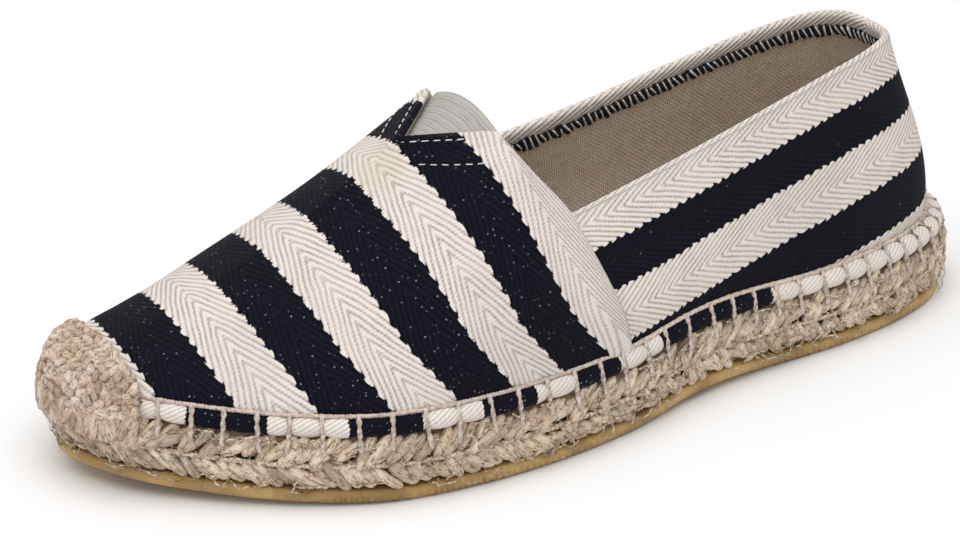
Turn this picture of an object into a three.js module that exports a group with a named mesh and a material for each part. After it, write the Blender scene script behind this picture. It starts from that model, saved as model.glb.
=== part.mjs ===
// A left espadrille: striped cloth upper on a braided jute sole with a thin rubber tread.
// Millimetres, +X to the toe, +Y to the outer side of the foot, +Z up, standing on z = 0.
import * as THREE from 'three';

// Driving sizes
const soleLength = 251;
const treadThickness = 3.6;
const juteThickness = 13.6;
const pieceGap = 0.3;
const toeSpring = 5.5;
const springStart = 0.7;
const archLift = 1.6;
const archFrom = 0.24;
const archTo = 0.5;
const treadInset = 3;
const clothWall = 1.8;
const clothInset = 2.8;
const heelInset = 3;
const hemHeight = 3.8;
const hemInset = 0.8;
const insoleThickness = 1.8;
const insoleGap = 0.7;
const notchDepth = 18;
const guardThickness = 3;
const guardGap = 0.35;
const guardLength = 14.5;
const guardSlant = 0.12;
const goreThickness = 1.3;
const goreGap = 0.5;

// Stations round one side, from the middle of the heel to the tip of the toe
const heelStations = 21;
const flapStations = 5;
const toeStations = 25;
const seamShare = 0.475;
const flapShare = 0.535;
const wallRows = 12;

// Half widths of the sole beside its long axis, by share of the length from the heel
const outlineRows = [
  { share: 0.01, outer: 11, inner: 11 },
  { share: 0.045, outer: 21.5, inner: 21.5 },
  { share: 0.1, outer: 28, inner: 28 },
  { share: 0.19, outer: 32.5, inner: 31.5 },
  { share: 0.29, outer: 34, inner: 31 },
  { share: 0.4, outer: 38.5, inner: 31 },
  { share: 0.49, outer: 44.5, inner: 35 },
  { share: 0.58, outer: 47.8, inner: 40.5 },
  { share: 0.67, outer: 47.8, inner: 44.5 },
  { share: 0.76, outer: 43.8, inner: 45.5 },
  { share: 0.84, outer: 33.5, inner: 43.5 },
  { share: 0.91, outer: 20, inner: 38 },
  { share: 0.96, outer: 8, inner: 31 },
  { share: 0.99, outer: -4, inner: 21.5 },
];
const toeTip = { share: 1, side: -12 };

// The collar from the heel to the side seam, by share of the side: how far its edge lies from
// the back of the heel, its half width, how far it shifts to the outer side, and its height
const collarRows = [
  { share: 0, back: 20, half: 0, shift: 0, height: 74.5 },
  { share: 0.07, back: 22.5, half: 10.5, shift: 0, height: 74.5 },
  { share: 0.14, back: 32, half: 16, shift: 0, height: 73.5 },
  { share: 0.22, back: 49, half: 19, shift: 0, height: 70.5 },
  { share: 0.31, back: 73, half: 21.5, shift: 0.3, height: 65.5 },
  { share: 0.4, back: 102, half: 23.5, shift: 0.8, height: 59.5 },
  { share: seamShare, back: 131, half: 26, shift: 1, height: 54.5 },
];
const flapBow = 1.5;
const flapTip = { back: 144, half: 17, height: 75.5 };
const notchPoint = { back: flapTip.back + notchDepth, height: 72 };

// How the cloth leaves the hem and reaches its upper edge: at the heel, over the foot, at the toes
const wallForms = {
  quarter: { rise: 0.36, lean: 2.2, reach: 0.34, fall: 0 },
  vamp: { rise: 0.12, lean: 1.6, reach: 0.75, fall: 0.71 },
  toe: { rise: 0.1, lean: 5.6, reach: 0.75, fall: 0.71 },
};
const crownFall = 0.26;
const toeShare = 0.8;

const colours = { rubber: 0xb08a4a, jute: 0xcbb393, cloth: 0xe6dfcf, lining: 0xb3a88f, elastic: 0xcfcabd };

const lerp = (a, b, t) => a + (b - a) * t;
const smooth = (t) => t * t * (3 - 2 * t);
const clamp01 = (t) => Math.min(1, Math.max(0, t));

// Height of the ground side of the sole above the floor, by share of the length
function groundRise(share) {
  const spring = clamp01((share - springStart) / (1 - springStart));
  const arch = clamp01((share - archFrom) / (archTo - archFrom));
  return toeSpring * spring * spring + archLift * Math.sin(Math.PI * arch) ** 2;
}

// The sole outline as two dense side lines, each from the heel to the tip of the toe
function sideLines() {
  const heel = new THREE.Vector3(0, 0, 0);
  const tip = new THREE.Vector3(toeTip.share * soleLength, toeTip.side, 0);
  const outer = outlineRows.map((row) => new THREE.Vector3(row.share * soleLength, row.outer, 0));
  const inner = outlineRows.map((row) => new THREE.Vector3(row.share * soleLength, -row.inner, 0));
  const points = [heel, ...outer, tip, ...inner.reverse()];
  const perSpan = 24;
  const curve = new THREE.CatmullRomCurve3(points, true, 'centripetal');
  const dense = curve.getPoints(points.length * perSpan).slice(0, -1);
  const half = dense.length / 2;
  const outerLine = dense.slice(0, half + 1);
  const innerLine = [dense[0], ...dense.slice(half).reverse()];
  return { outer: outerLine, inner: innerLine };
}

// Point and outward direction at a share of a side line's own length
function onSide(line, share, sign) {
  const lengths = [0];
  for (let i = 1; i < line.length; i += 1) {
    lengths.push(lengths[i - 1] + line[i].distanceTo(line[i - 1]));
  }
  const wanted = share * lengths[lengths.length - 1];
  let i = 1;
  while (i < lengths.length - 1 && lengths[i] < wanted) i += 1;
  const t = (wanted - lengths[i - 1]) / (lengths[i] - lengths[i - 1]);
  const point = line[i - 1].clone().lerp(line[i], t);
  const before = line[Math.max(0, i - 4)];
  const after = line[Math.min(line.length - 1, i + 3)];
  const along = after.clone().sub(before).normalize();
  const out = new THREE.Vector3(-along.y * sign, along.x * sign, 0);
  return { point, out };
}

// Shares of the stations on one side, with stations exactly at the seam and the flap tip
function stationShares() {
  const shares = [];
  for (let i = 0; i < heelStations; i += 1) shares.push(seamShare * i / heelStations);
  for (let i = 0; i < flapStations; i += 1) shares.push(lerp(seamShare, flapShare, i / flapStations));
  for (let i = 0; i <= toeStations; i += 1) shares.push(lerp(flapShare, 1, i / toeStations));
  return shares;
}

// All stations in one loop: outer side from heel to toe, then inner side back to the heel
function makeStations() {
  const lines = sideLines();
  const shares = stationShares();
  const outer = shares.map((share) => ({ share, sign: 1, ...onSide(lines.outer, share, 1) }));
  const inner = shares.slice(1, -1).map((share) => ({ share, sign: -1, ...onSide(lines.inner, share, -1) }));
  outer[0].out.set(-1, 0, 0);
  outer[shares.length - 1].out.set(1, -0.12, 0).normalize();
  return [...outer, ...inner.reverse()];
}

const stations = makeStations();

// A point beside the outline: inset to the inside, height above the ground side of the sole
function besideOutline(station, inset, height) {
  const point = station.point.clone().addScaledVector(station.out, -inset);
  point.z = groundRise(point.x / soleLength) + height;
  return point;
}

// Inset of the cloth's outer face where it leaves the hem: more round the heel
function clothFoot(share) {
  return clothInset + heelInset * smooth(clamp01(1 - share / 0.3));
}

const juteTop = treadThickness + pieceGap + juteThickness;
const upperFoot = juteTop + pieceGap;
const hemTop = upperFoot + hemHeight;

// Smooth value of a column of the collar table at a share of the side
function collarValue(share, column) {
  const rows = collarRows;
  let i = 1;
  while (i < rows.length - 1 && rows[i].share < share) i += 1;
  const a = rows[i - 1];
  const b = rows[i];
  const before = rows[Math.max(0, i - 2)];
  const after = rows[Math.min(rows.length - 1, i + 1)];
  const span = b.share - a.share;
  const flatStart = i === 1 && column !== 'half';
  const slopeA = flatStart ? 0 : (b[column] - before[column]) / (b.share - before.share);
  const slopeB = (after[column] - a[column]) / (after.share - a.share);
  const t = (share - a.share) / span;
  const h = smooth(t);
  const bendA = t * (1 - t) ** 2 * slopeA * span;
  const bendB = t * t * (t - 1) * slopeB * span;
  return lerp(a[column], b[column], h) + bendA + bendB;
}

// Upper edge of the cloth at a station: collar, then the flap's rear edge, then the notch
function rimPoint(station) {
  const { share, sign } = station;
  if (share <= seamShare) {
    const side = collarValue(share, 'half') * sign + collarValue(share, 'shift');
    return new THREE.Vector3(collarValue(share, 'back'), side, collarValue(share, 'height'));
  }
  const seam = collarRows[collarRows.length - 1];
  if (share <= flapShare) {
    const t = (share - seamShare) / (flapShare - seamShare);
    const bow = flapBow * Math.sin(Math.PI * t);
    const half = lerp(seam.half, flapTip.half, t) + bow;
    const side = half * sign + lerp(seam.shift, 0, t);
    return new THREE.Vector3(lerp(seam.back, flapTip.back, t), side, lerp(seam.height, flapTip.height, t));
  }
  const t = (share - flapShare) / (1 - flapShare);
  const half = flapTip.half * (1 - t) * sign;
  return new THREE.Vector3(lerp(flapTip.back, notchPoint.back, t), half, lerp(flapTip.height, notchPoint.height, t));
}

// One line of the cloth's outer face, from the top of the hem to the upper edge
function wallLine(station) {
  const { share } = station;
  const toVamp = smooth(clamp01((share - seamShare + 0.06) / 0.16));
  const toToe = smooth(clamp01((share - toeShare) / (1 - toeShare)));
  const form = {};
  for (const key of Object.keys(wallForms.quarter)) {
    const front = lerp(wallForms.vamp[key], wallForms.toe[key], toToe);
    form[key] = lerp(wallForms.quarter[key], front, toVamp);
  }
  const foot = besideOutline(station, clothFoot(share), hemTop);
  const rim = rimPoint(station);
  const rise = rim.z - foot.z;
  const inPlan = foot.clone().sub(rim).setZ(0);
  const low = foot.clone().addScaledVector(station.out, form.lean);
  low.z += form.rise * rise;
  const high = rim.clone().addScaledVector(inPlan, form.reach);
  const sideFall = crownFall * Math.min(1, Math.abs(rim.y) / flapTip.half) * Math.abs(inPlan.y);
  const vampFall = form.reach * (form.fall * Math.max(0, inPlan.x) + sideFall);
  high.z -= lerp(form.reach * rise, vampFall, toVamp);
  const curve = new THREE.CubicBezierCurve3(foot, low, high, rim);
  const line = [];
  for (let k = 0; k <= wallRows; k += 1) line.push(curve.getPoint(k / wallRows));
  return line;
}

// Outward directions of a grid of points that closes round its first index
function gridNormals(grid, closed) {
  const count = grid.length;
  return grid.map((row, i) => row.map((point, k) => {
    const next = closed ? grid[(i + 1) % count] : grid[Math.min(count - 1, i + 1)];
    const last = closed ? grid[(i + count - 1) % count] : grid[Math.max(0, i - 1)];
    const round = next[k].clone().sub(last[k]);
    const up = row[Math.min(row.length - 1, k + 1)].clone().sub(row[Math.max(0, k - 1)]);
    return up.cross(round).normalize();
  }));
}

const clothGrid = stations.map(wallLine);
const clothNormals = gridNormals(clothGrid, true);

// A named mesh from points and triangles, turned so that its faces point out
function solid(name, points, triangles, colour, roughness) {
  let volume = 0;
  for (const [a, b, c] of triangles) {
    volume += points[a].dot(points[b].clone().cross(points[c]));
  }
  const turned = volume > 0 ? triangles : triangles.map(([a, b, c]) => [a, c, b]);
  const geometry = new THREE.BufferGeometry();
  geometry.setAttribute('position', new THREE.Float32BufferAttribute(points.flatMap((p) => [p.x, p.y, p.z]), 3));
  geometry.setIndex(turned.flat());
  geometry.computeVertexNormals();
  const material = new THREE.MeshStandardMaterial({ color: colour, roughness, metalness: 0 });
  const mesh = new THREE.Mesh(geometry, material);
  mesh.name = name;
  return mesh;
}

// Triangles between neighbouring loops of points, all loops of the same length
function loopTriangles(loopCount, loopLength, closed) {
  const triangles = [];
  const last = closed ? loopCount : loopCount - 1;
  for (let i = 0; i < last; i += 1) {
    for (let k = 0; k < loopLength; k += 1) {
      const a = i * loopLength + k;
      const b = i * loopLength + (k + 1) % loopLength;
      const c = ((i + 1) % loopCount) * loopLength + k;
      const d = ((i + 1) % loopCount) * loopLength + (k + 1) % loopLength;
      triangles.push([a, b, c], [b, d, c]);
    }
  }
  return triangles;
}

// A plate from rings round the outline, closed above and below by strips across the sole
function plate(name, rings, colour, roughness) {
  const count = stations.length;
  const points = [];
  for (const ring of rings) {
    for (const station of stations) {
      const inset = ring.inset + (ring.insideCloth ? clothFoot(station.share) + clothWall : 0);
      points.push(besideOutline(station, inset, ring.height));
    }
  }
  const triangles = loopTriangles(rings.length, count, false);
  const capStarts = [{ start: 0, flip: true }, { start: (rings.length - 1) * count, flip: false }];
  for (const { start, flip } of capStarts) {
    for (let i = 0; i < count / 2; i += 1) {
      const a = start + i;
      const b = start + i + 1;
      const c = start + (count - i) % count;
      const d = start + count - i - 1;
      const faces = [[a, b, c], [b, d, c]].filter((face) => new Set(face).size === 3);
      for (const face of faces) triangles.push(flip ? [face[0], face[2], face[1]] : face);
    }
  }
  return solid(name, points, triangles, colour, roughness);
}

function makeOutsole() {
  const rings = [
    { inset: treadInset + 0.8, height: 0 },
    { inset: treadInset, height: 0.8 },
    { inset: treadInset, height: treadThickness },
  ];
  return plate('outsole', rings.reverse(), colours.rubber, 0.6);
}

// Two rounded braids lie one above the other, with a groove between them
function makeJuteSole() {
  const tierProfile = [
    { inset: 1.7, level: 0 },
    { inset: 0.4, level: 0.2 },
    { inset: 0, level: 0.5 },
    { inset: 0.4, level: 0.8 },
  ];
  const tierHeight = juteThickness / 2;
  const foot = treadThickness + pieceGap;
  const rings = [];
  for (let tier = 0; tier < 2; tier += 1) {
    for (const { inset, level } of tierProfile) {
      rings.push({ inset, height: foot + (tier + level) * tierHeight });
    }
  }
  rings.push({ inset: 1.7, height: juteTop });
  return plate('jute_sole', rings.reverse(), colours.jute, 0.95);
}

function makeInsole() {
  const rings = [
    { inset: insoleGap, insideCloth: true, height: upperFoot },
    { inset: insoleGap, insideCloth: true, height: upperFoot + insoleThickness },
  ];
  return plate('insole', rings.reverse(), colours.lining, 0.9);
}

// Outer face of the hem roll, from the sole up to the crease where the cloth starts
const hemProfile = [
  { inset: 2.6, level: 0 },
  { inset: hemInset, level: 0.25 },
  { inset: hemInset, level: 0.6 },
  { inset: 2.4, level: 0.92 },
];

function hemPoint(station, row) {
  return besideOutline(station, row.inset, upperFoot + row.level * hemHeight);
}

// The hollow upper: hem roll, outer face, upper edge and inner face of one cloth wall
function makeUpper() {
  const loops = stations.map((station, i) => {
    const hem = hemProfile.map((row) => hemPoint(station, row));
    const outer = clothGrid[i];
    const inner = outer.map((point, k) => point.clone().addScaledVector(clothNormals[i][k], -clothWall));
    const foot = inner[0].clone();
    foot.z -= hemHeight;
    return [...hem, ...outer, ...inner.reverse(), foot];
  });
  const triangles = loopTriangles(loops.length, loops[0].length, true);
  return solid('upper', loops.flat(), triangles, colours.cloth, 0.9);
}

// How far up a wall line the toe guard reaches: to a slanted plane a set way behind the toe
function guardTop(line) {
  let k = 1;
  const edge = (point) => soleLength - guardLength + guardSlant * (point.z - hemTop);
  while (k < wallRows / 2 && line[k].x > edge(line[k])) k += 1;
  const before = line[k - 1].x - edge(line[k - 1]);
  const after = line[k].x - edge(line[k]);
  return Math.max(0.5, k - 1 + clamp01(before / (before - after)));
}

// The corded toe guard, a shell over the top braid, the hem and the end of the cloth
function makeToeGuard() {
  const low = treadThickness + pieceGap + juteThickness * 0.54;
  const side = [
    { inset: -guardGap, height: low },
    { inset: -guardGap, height: juteTop - 1.5 },
    { inset: hemInset - guardGap - 0.3, height: upperFoot + 0.8 },
    { inset: hemInset - guardGap, height: upperFoot + hemHeight * 0.65 },
  ];
  const clothRows = 5;
  const grid = [];
  stations.forEach((station, i) => {
    const line = clothGrid[i];
    if (line[0].x < soleLength - guardLength) return;
    const row = side.map(({ inset, height }) => besideOutline(station, inset, height));
    const top = guardTop(line);
    for (let k = 1; k <= clothRows; k += 1) {
      const v = top * k / clothRows;
      const below = Math.floor(v);
      const on = line[below].clone().lerp(line[below + 1], v - below);
      const out = clothNormals[i][below].clone().lerp(clothNormals[i][below + 1], v - below);
      row.push(on.addScaledVector(out, guardGap + 0.15));
    }
    grid.push(row);
  });
  const normals = gridNormals(grid, false);
  const loops = grid.map((row, i) => {
    const skin = row.map((point, k) => point.clone().addScaledVector(normals[i][k], guardThickness));
    return [...row, ...skin.reverse()];
  });
  return shell('toe_guard', loops, colours.jute, 0.95);
}

// A sheet with thickness: loops round its section, closed at the first and the last one
function shell(name, loops, colour, roughness) {
  const length = loops[0].length;
  const triangles = loopTriangles(loops.length, length, false);
  const ends = [{ start: 0, flip: false }, { start: (loops.length - 1) * length, flip: true }];
  for (const { start, flip } of ends) {
    for (let k = 0; k < length / 2 - 1; k += 1) {
      const a = start + k;
      const b = start + k + 1;
      const c = start + length - 1 - k;
      const d = start + length - 2 - k;
      const faces = [[a, c, b], [b, c, d]];
      for (const face of faces) triangles.push(flip ? [face[0], face[2], face[1]] : face);
    }
  }
  return solid(name, loops.flat(), triangles, colour, roughness);
}

// A point below the cloth's inner face, a given way down a wall line from its upper edge
function underCloth(i, way, depth) {
  const line = clothGrid[i];
  let k = line.length - 1;
  let left = way;
  while (k > 1 && left > line[k].distanceTo(line[k - 1])) {
    left -= line[k].distanceTo(line[k - 1]);
    k -= 1;
  }
  const t = left / line[k].distanceTo(line[k - 1]);
  const out = clothNormals[i][k].clone().lerp(clothNormals[i][k - 1], t);
  return line[k].clone().lerp(line[k - 1], t).addScaledVector(out, -depth);
}

// The elastic gore: a crowned triangle across the notch, tucked in below the cloth's edges
function makeGore() {
  const tuck = 5;
  const crown = 4.5;
  const across = 8;
  const narrowest = 2.5;
  const depth = clothWall + goreGap;
  const first = heelStations + flapStations + 1;
  const grid = [];
  for (let i = first; rimPoint(stations[i]).y > narrowest; i += 1) {
    const j = stations.length - i;
    const ways = [tuck, tuck / 2, 0];
    const row = ways.map((way) => underCloth(i, way, depth));
    const from = row[row.length - 1];
    const to = underCloth(j, 0, depth);
    const lift = crown * (from.y - to.y) / (2 * flapTip.half);
    for (let k = 1; k < across; k += 1) {
      const point = from.clone().lerp(to, k / across);
      point.z += lift * 4 * (k / across) * (1 - k / across);
      row.push(point);
    }
    for (const way of ways.reverse()) row.push(underCloth(j, way, depth));
    grid.push(row);
  }
  const loops = grid.map((row) => {
    const under = row.map((point) => point.clone().setZ(point.z - goreThickness));
    return [...row, ...under.reverse()];
  });
  return shell('elastic_gore', loops, colours.elastic, 0.8);
}

const shoe = new THREE.Group();
shoe.add(makeOutsole(), makeJuteSole(), makeInsole(), makeUpper(), makeToeGuard(), makeGore());

// The origin is the middle of the whole shoe's box, on the floor
const box = new THREE.Box3().setFromObject(shoe);
const middle = box.getCenter(new THREE.Vector3());
shoe.position.set(-middle.x, -middle.y, -box.min.z);
shoe.updateMatrixWorld(true);

export default shoe;
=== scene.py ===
import math

import bmesh
import bpy
import numpy as np
from mathutils import Matrix, Vector


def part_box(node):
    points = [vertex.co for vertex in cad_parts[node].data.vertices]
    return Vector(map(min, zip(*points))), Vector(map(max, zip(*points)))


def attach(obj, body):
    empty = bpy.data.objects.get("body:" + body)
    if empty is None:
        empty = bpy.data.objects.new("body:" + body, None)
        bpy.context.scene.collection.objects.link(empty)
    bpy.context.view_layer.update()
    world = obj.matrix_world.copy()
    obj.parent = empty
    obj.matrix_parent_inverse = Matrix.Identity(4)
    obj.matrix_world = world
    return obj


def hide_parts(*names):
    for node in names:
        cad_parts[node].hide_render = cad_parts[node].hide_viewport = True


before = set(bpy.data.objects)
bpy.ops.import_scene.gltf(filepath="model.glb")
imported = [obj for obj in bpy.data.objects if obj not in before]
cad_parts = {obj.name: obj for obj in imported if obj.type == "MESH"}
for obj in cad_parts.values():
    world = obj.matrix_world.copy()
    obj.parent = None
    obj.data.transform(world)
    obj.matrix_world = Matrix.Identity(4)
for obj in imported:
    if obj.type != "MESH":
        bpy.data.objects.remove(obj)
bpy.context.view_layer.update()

mm = 0.001
scene = bpy.context.scene
rng = np.random.default_rng(20)

# Camera: outer side and toe of the shoe, from above its waist
cameraPlan = {
    "azimuth": 149.03,
    "elevation": 24.89,
    "distance": 0.7917,
    "lens": 117.8,
    "roll": -0.59,
    "target": (-0.0004, 0, 0.03),
    "aimRight": -0.01203,
    "aimUp": -0.00173,
}


def makeCamera(plan):
    az = math.radians(plan["azimuth"])
    el = math.radians(plan["elevation"])
    roll = math.radians(plan["roll"])
    back = Vector((math.sin(az) * math.cos(el), -math.cos(az) * math.cos(el), math.sin(el)))
    flatRight = Vector((0, 0, 1)).cross(back).normalized()
    flatUp = back.cross(flatRight)
    right = flatRight * math.cos(roll) + flatUp * math.sin(roll)
    up = flatUp * math.cos(roll) - flatRight * math.sin(roll)
    target = Vector(plan["target"])
    place = target + back * plan["distance"]
    aim = target + right * plan["aimRight"] + up * plan["aimUp"]
    back = (place - aim).normalized()
    right = up.cross(back).normalized()
    up = back.cross(right)
    data = bpy.data.cameras.new("mainCamera")
    data.lens = plan["lens"]
    data.sensor_width = 36
    data.clip_start = 0.01
    camera = bpy.data.objects.new("mainCamera", data)
    turn = Matrix((right, up, back)).transposed()
    camera.matrix_world = Matrix.Translation(place) @ turn.to_4x4()
    scene.collection.objects.link(camera)
    scene.camera = camera


makeCamera(cameraPlan)

# The shoe's plan and section, millimetres from the back of the heel on the long axis
solePlan = {
    "length": 251,
    "tread": 3.6,
    "jute": 13.6,
    "gap": 0.3,
    "toeSpring": 5.5,
    "springStart": 0.7,
    "archLift": 1.6,
    "archFrom": 0.24,
    "archTo": 0.5,
    "treadInset": 3,
    "tip": -12,
    "shares": [0.01, 0.045, 0.1, 0.19, 0.29, 0.4, 0.49, 0.58, 0.67, 0.76, 0.84, 0.91, 0.96, 0.99],
    "outer": [11, 21.5, 28, 32.5, 34, 38.5, 44.5, 47.8, 47.8, 43.8, 33.5, 20, 8, -4],
    "inner": [11, 21.5, 28, 31.5, 31, 31, 35, 40.5, 44.5, 45.5, 43.5, 38, 31, 21.5],
}
upperPlan = {
    "wall": 1.8,
    "inset": 2.8,
    "heelInset": 3,
    "hemHeight": 3.8,
    "seamShare": 0.475,
    "flapShare": 0.535,
    "flapBow": 1.5,
    "flapTip": (144, 17, 75.5),
    "notch": (162, 0, 72),
    "quarter": (0.36, 2.2, 0.34, 0),
    "vamp": (0.12, 1.6, 0.75, 0.71),
    "toe": (0.1, 5.6, 0.75, 0.71),
    "toeShare": 0.8,
    "crownFall": 0.26,
}
collarPlan = {
    "share": [0, 0.07, 0.14, 0.22, 0.31, 0.4, 0.475],
    "back": [20, 22.5, 32, 49, 73, 102, 131],
    "half": [0, 10.5, 16, 19, 21.5, 23.5, 26],
    "shift": [0, 0, 0, 0, 0.3, 0.8, 1],
    "height": [74.5, 74.5, 73.5, 70.5, 65.5, 59.5, 54.5],
}
juteFoot = solePlan["tread"] + solePlan["gap"]
juteTop = juteFoot + solePlan["jute"]
upperFoot = juteTop + solePlan["gap"]
hemTop = upperFoot + upperPlan["hemHeight"]
grooveLevel = juteFoot + solePlan["jute"] / 2


def smooth(t):
    t = np.clip(t, 0, 1)
    return t * t * (3 - 2 * t)


def unit(v):
    return v / np.maximum(np.linalg.norm(v, axis=-1, keepdims=True), 1e-9)


def runAlong(line):
    return np.concatenate([[0], np.cumsum(np.linalg.norm(np.diff(line, axis=0), axis=1))])


def pointsAt(ways, run, points):
    # points, or vectors, interpolated at ways along a run
    return np.stack([np.interp(ways, run, column) for column in points.T], -1)


def groundRise(x):
    share = x / solePlan["length"]
    spring = np.clip((share - solePlan["springStart"]) / (1 - solePlan["springStart"]), 0, 1)
    arch = np.clip((share - solePlan["archFrom"]) / (solePlan["archTo"] - solePlan["archFrom"]), 0, 1)
    return solePlan["toeSpring"] * spring**2 + solePlan["archLift"] * np.sin(np.pi * arch) ** 2


def catmullLoop(points, perSpan):
    # closed centripetal curve through the points
    out = []
    count = len(points)
    t = np.arange(perSpan)[:, None] / perSpan
    for i in range(count):
        p0, p1, p2, p3 = points[i - 1], points[i], points[(i + 1) % count], points[(i + 2) % count]
        a, b, c = [np.linalg.norm(q - p) ** 0.5 for p, q in ((p0, p1), (p1, p2), (p2, p3))]
        m1 = ((p1 - p0) / a - (p2 - p0) / (a + b) + (p2 - p1) / b) * b
        m2 = ((p2 - p1) / b - (p3 - p1) / (b + c) + (p3 - p2) / c) * b
        bend = -3 * p1 + 3 * p2 - 2 * m1 - m2
        out.append(p1 + m1 * t + bend * t**2 + (2 * p1 - 2 * p2 + m1 + m2) * t**3)
    return np.concatenate(out)


def outlineLoop():
    xs = np.array(solePlan["shares"]) * solePlan["length"]
    outer = np.stack([xs, solePlan["outer"]], 1)
    inner = np.stack([xs, -np.array(solePlan["inner"])], 1)
    tip = [[solePlan["length"], solePlan["tip"]]]
    return catmullLoop(np.concatenate([[[0, 0]], outer, tip, inner[::-1]]), 24)


outline = outlineLoop()
half = len(outline) // 2
chord = np.roll(outline, -3, 0) - np.roll(outline, 4, 0)
chord = (chord + np.roll(chord, -1, 0)) / 2
outlineOut = unit(np.stack([-chord[:, 1], chord[:, 0]], 1))
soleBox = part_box("jute_sole")
rowOrigin = np.array([soleBox[0].x / mm, soleBox[1].y / mm - outline[:, 1].max(), 0])


def sideAt(shares, sign):
    # points and outward directions at shares of one side's own length
    order = np.arange(half + 1)
    if sign < 0:
        order = np.concatenate([[0], np.arange(len(outline) - 1, half - 1, -1)])
    line, out = outline[order], outlineOut[order]
    run = runAlong(line)
    wanted = shares * run[-1]
    return pointsAt(wanted, run, line), unit(pointsAt(wanted, run, out))


def stationRing(fine, start=0.0):
    # stations in one loop, outer side first; with a start share, an open run round the toe
    seam, flap = upperPlan["seamShare"], upperPlan["flapShare"]
    shares = np.linspace(0, seam, 21 * fine, endpoint=False)
    shares = np.concatenate([shares, np.linspace(seam, flap, 5 * fine, endpoint=False)])
    shares = np.concatenate([shares, np.linspace(flap, 1, 25 * fine + 1)])
    shares = shares[shares >= start - 1e-9]
    outer, outerOut = sideAt(shares, 1)
    back = shares[:-1] if start > 0 else shares[1:-1]
    inner, innerOut = sideAt(back, -1)
    return {
        "share": np.concatenate([shares, back[::-1]]),
        "sign": np.concatenate([np.ones(len(shares)), -np.ones(len(back))]),
        "point": np.concatenate([outer, inner[::-1]]),
        "out": np.concatenate([outerOut, innerOut[::-1]]),
    }


def partOf(ring, keep):
    return {key: value[keep] for key, value in ring.items()}


def beside(ring, inset, height):
    xy = ring["point"] - ring["out"] * np.reshape(inset, (-1, 1))
    return np.column_stack([xy, groundRise(xy[:, 0]) + height])


def clothFoot(share):
    return upperPlan["inset"] + upperPlan["heelInset"] * smooth(1 - share / 0.3)


def collarValue(share, column):
    rows, values = collarPlan["share"], collarPlan[column]
    i = 1
    while i < len(rows) - 1 and rows[i] < share:
        i += 1
    a, b, before, after = i - 1, i, max(0, i - 2), min(len(rows) - 1, i + 1)
    span = rows[b] - rows[a]
    flat = i == 1 and column != "half"
    slopeA = 0 if flat else (values[b] - values[before]) / (rows[b] - rows[before])
    slopeB = (values[after] - values[a]) / (rows[after] - rows[a])
    t = (share - rows[a]) / span
    bends = t * (1 - t) ** 2 * slopeA * span + t * t * (t - 1) * slopeB * span
    return values[a] + (values[b] - values[a]) * t * t * (3 - 2 * t) + bends


def rimPoint(share, sign):
    seam, flap = upperPlan["seamShare"], upperPlan["flapShare"]
    tip, notch = upperPlan["flapTip"], upperPlan["notch"]
    if share <= seam:
        side = collarValue(share, "half") * sign + collarValue(share, "shift")
        return [collarValue(share, "back"), side, collarValue(share, "height")]
    if share <= flap:
        t = (share - seam) / (flap - seam)
        start = [collarPlan[key][-1] for key in ("back", "half", "height", "shift")]
        wide = start[1] + (tip[1] - start[1]) * t + upperPlan["flapBow"] * math.sin(math.pi * t)
        side = wide * sign + start[3] * (1 - t)
        return [start[0] + (tip[0] - start[0]) * t, side, start[2] + (tip[2] - start[2]) * t]
    t = (share - flap) / (1 - flap)
    return [tip[0] + (notch[0] - tip[0]) * t, tip[1] * (1 - t) * sign, tip[2] + (notch[2] - tip[2]) * t]


def wallControls(ring):
    share = ring["share"]
    toVamp = smooth((share - upperPlan["seamShare"] + 0.06) / 0.16)
    toToe = smooth((share - upperPlan["toeShare"]) / (1 - upperPlan["toeShare"]))
    front = [a + (b - a) * toToe for a, b in zip(upperPlan["vamp"], upperPlan["toe"])]
    forms = [a + (b - a) * toVamp for a, b in zip(upperPlan["quarter"], front)]
    rise, lean, reach, fall = forms
    foot = beside(ring, clothFoot(share), hemTop)
    rim = np.array([rimPoint(s, g) for s, g in zip(share, ring["sign"])])
    inPlan = (foot - rim) * [1, 1, 0]
    height = rim[:, 2] - foot[:, 2]
    low = foot + np.column_stack([ring["out"] * lean[:, None], rise * height])
    high = rim + inPlan * reach[:, None]
    sideFall = upperPlan["crownFall"] * np.minimum(1, np.abs(rim[:, 1]) / upperPlan["flapTip"][1])
    vampFall = reach * (fall * np.maximum(0, inPlan[:, 0]) + sideFall * np.abs(inPlan[:, 1]))
    high[:, 2] -= reach * height * (1 - toVamp) + vampFall * toVamp
    return foot, low, high, rim


def wallGrid(ring, ts):
    foot, low, high, rim = [c[:, None, :] for c in wallControls(ring)]
    t = np.broadcast_to(ts, (len(ring["share"]), np.shape(ts)[-1]))[..., None]
    return foot * (1 - t) ** 3 + low * 3 * t * (1 - t) ** 2 + high * 3 * t * t * (1 - t) + rim * t**3


def gridNormals(grid, closed):
    if closed:
        across = np.roll(grid, -1, 0) - np.roll(grid, 1, 0)
    else:
        across = np.gradient(grid, axis=0)
    return unit(np.cross(np.gradient(grid, axis=1), across))


def depthBelowRim(grid):
    steps = np.linalg.norm(np.diff(grid, axis=1), axis=2)
    run = np.concatenate([np.zeros((len(grid), 1)), np.cumsum(steps, 1)], 1)
    return run[:, -1:] - run


def makeObject(name, points, faces, edges=()):
    mesh = bpy.data.meshes.new(name)
    mesh.from_pydata(((points + rowOrigin) * mm).tolist(), list(edges), faces)
    mesh.update()
    made = bpy.data.objects.new(name, mesh)
    scene.collection.objects.link(made)
    if len(faces):
        mesh.shade_smooth()
    return made


def loopFaces(count, length, closedAlong=True):
    faces = []
    for i in range(count if closedAlong else count - 1):
        a, b = i * length, (i + 1) % count * length
        for k in range(length):
            k2 = (k + 1) % length
            faces.append((a + k, b + k, b + k2, a + k2))
    return faces


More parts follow.
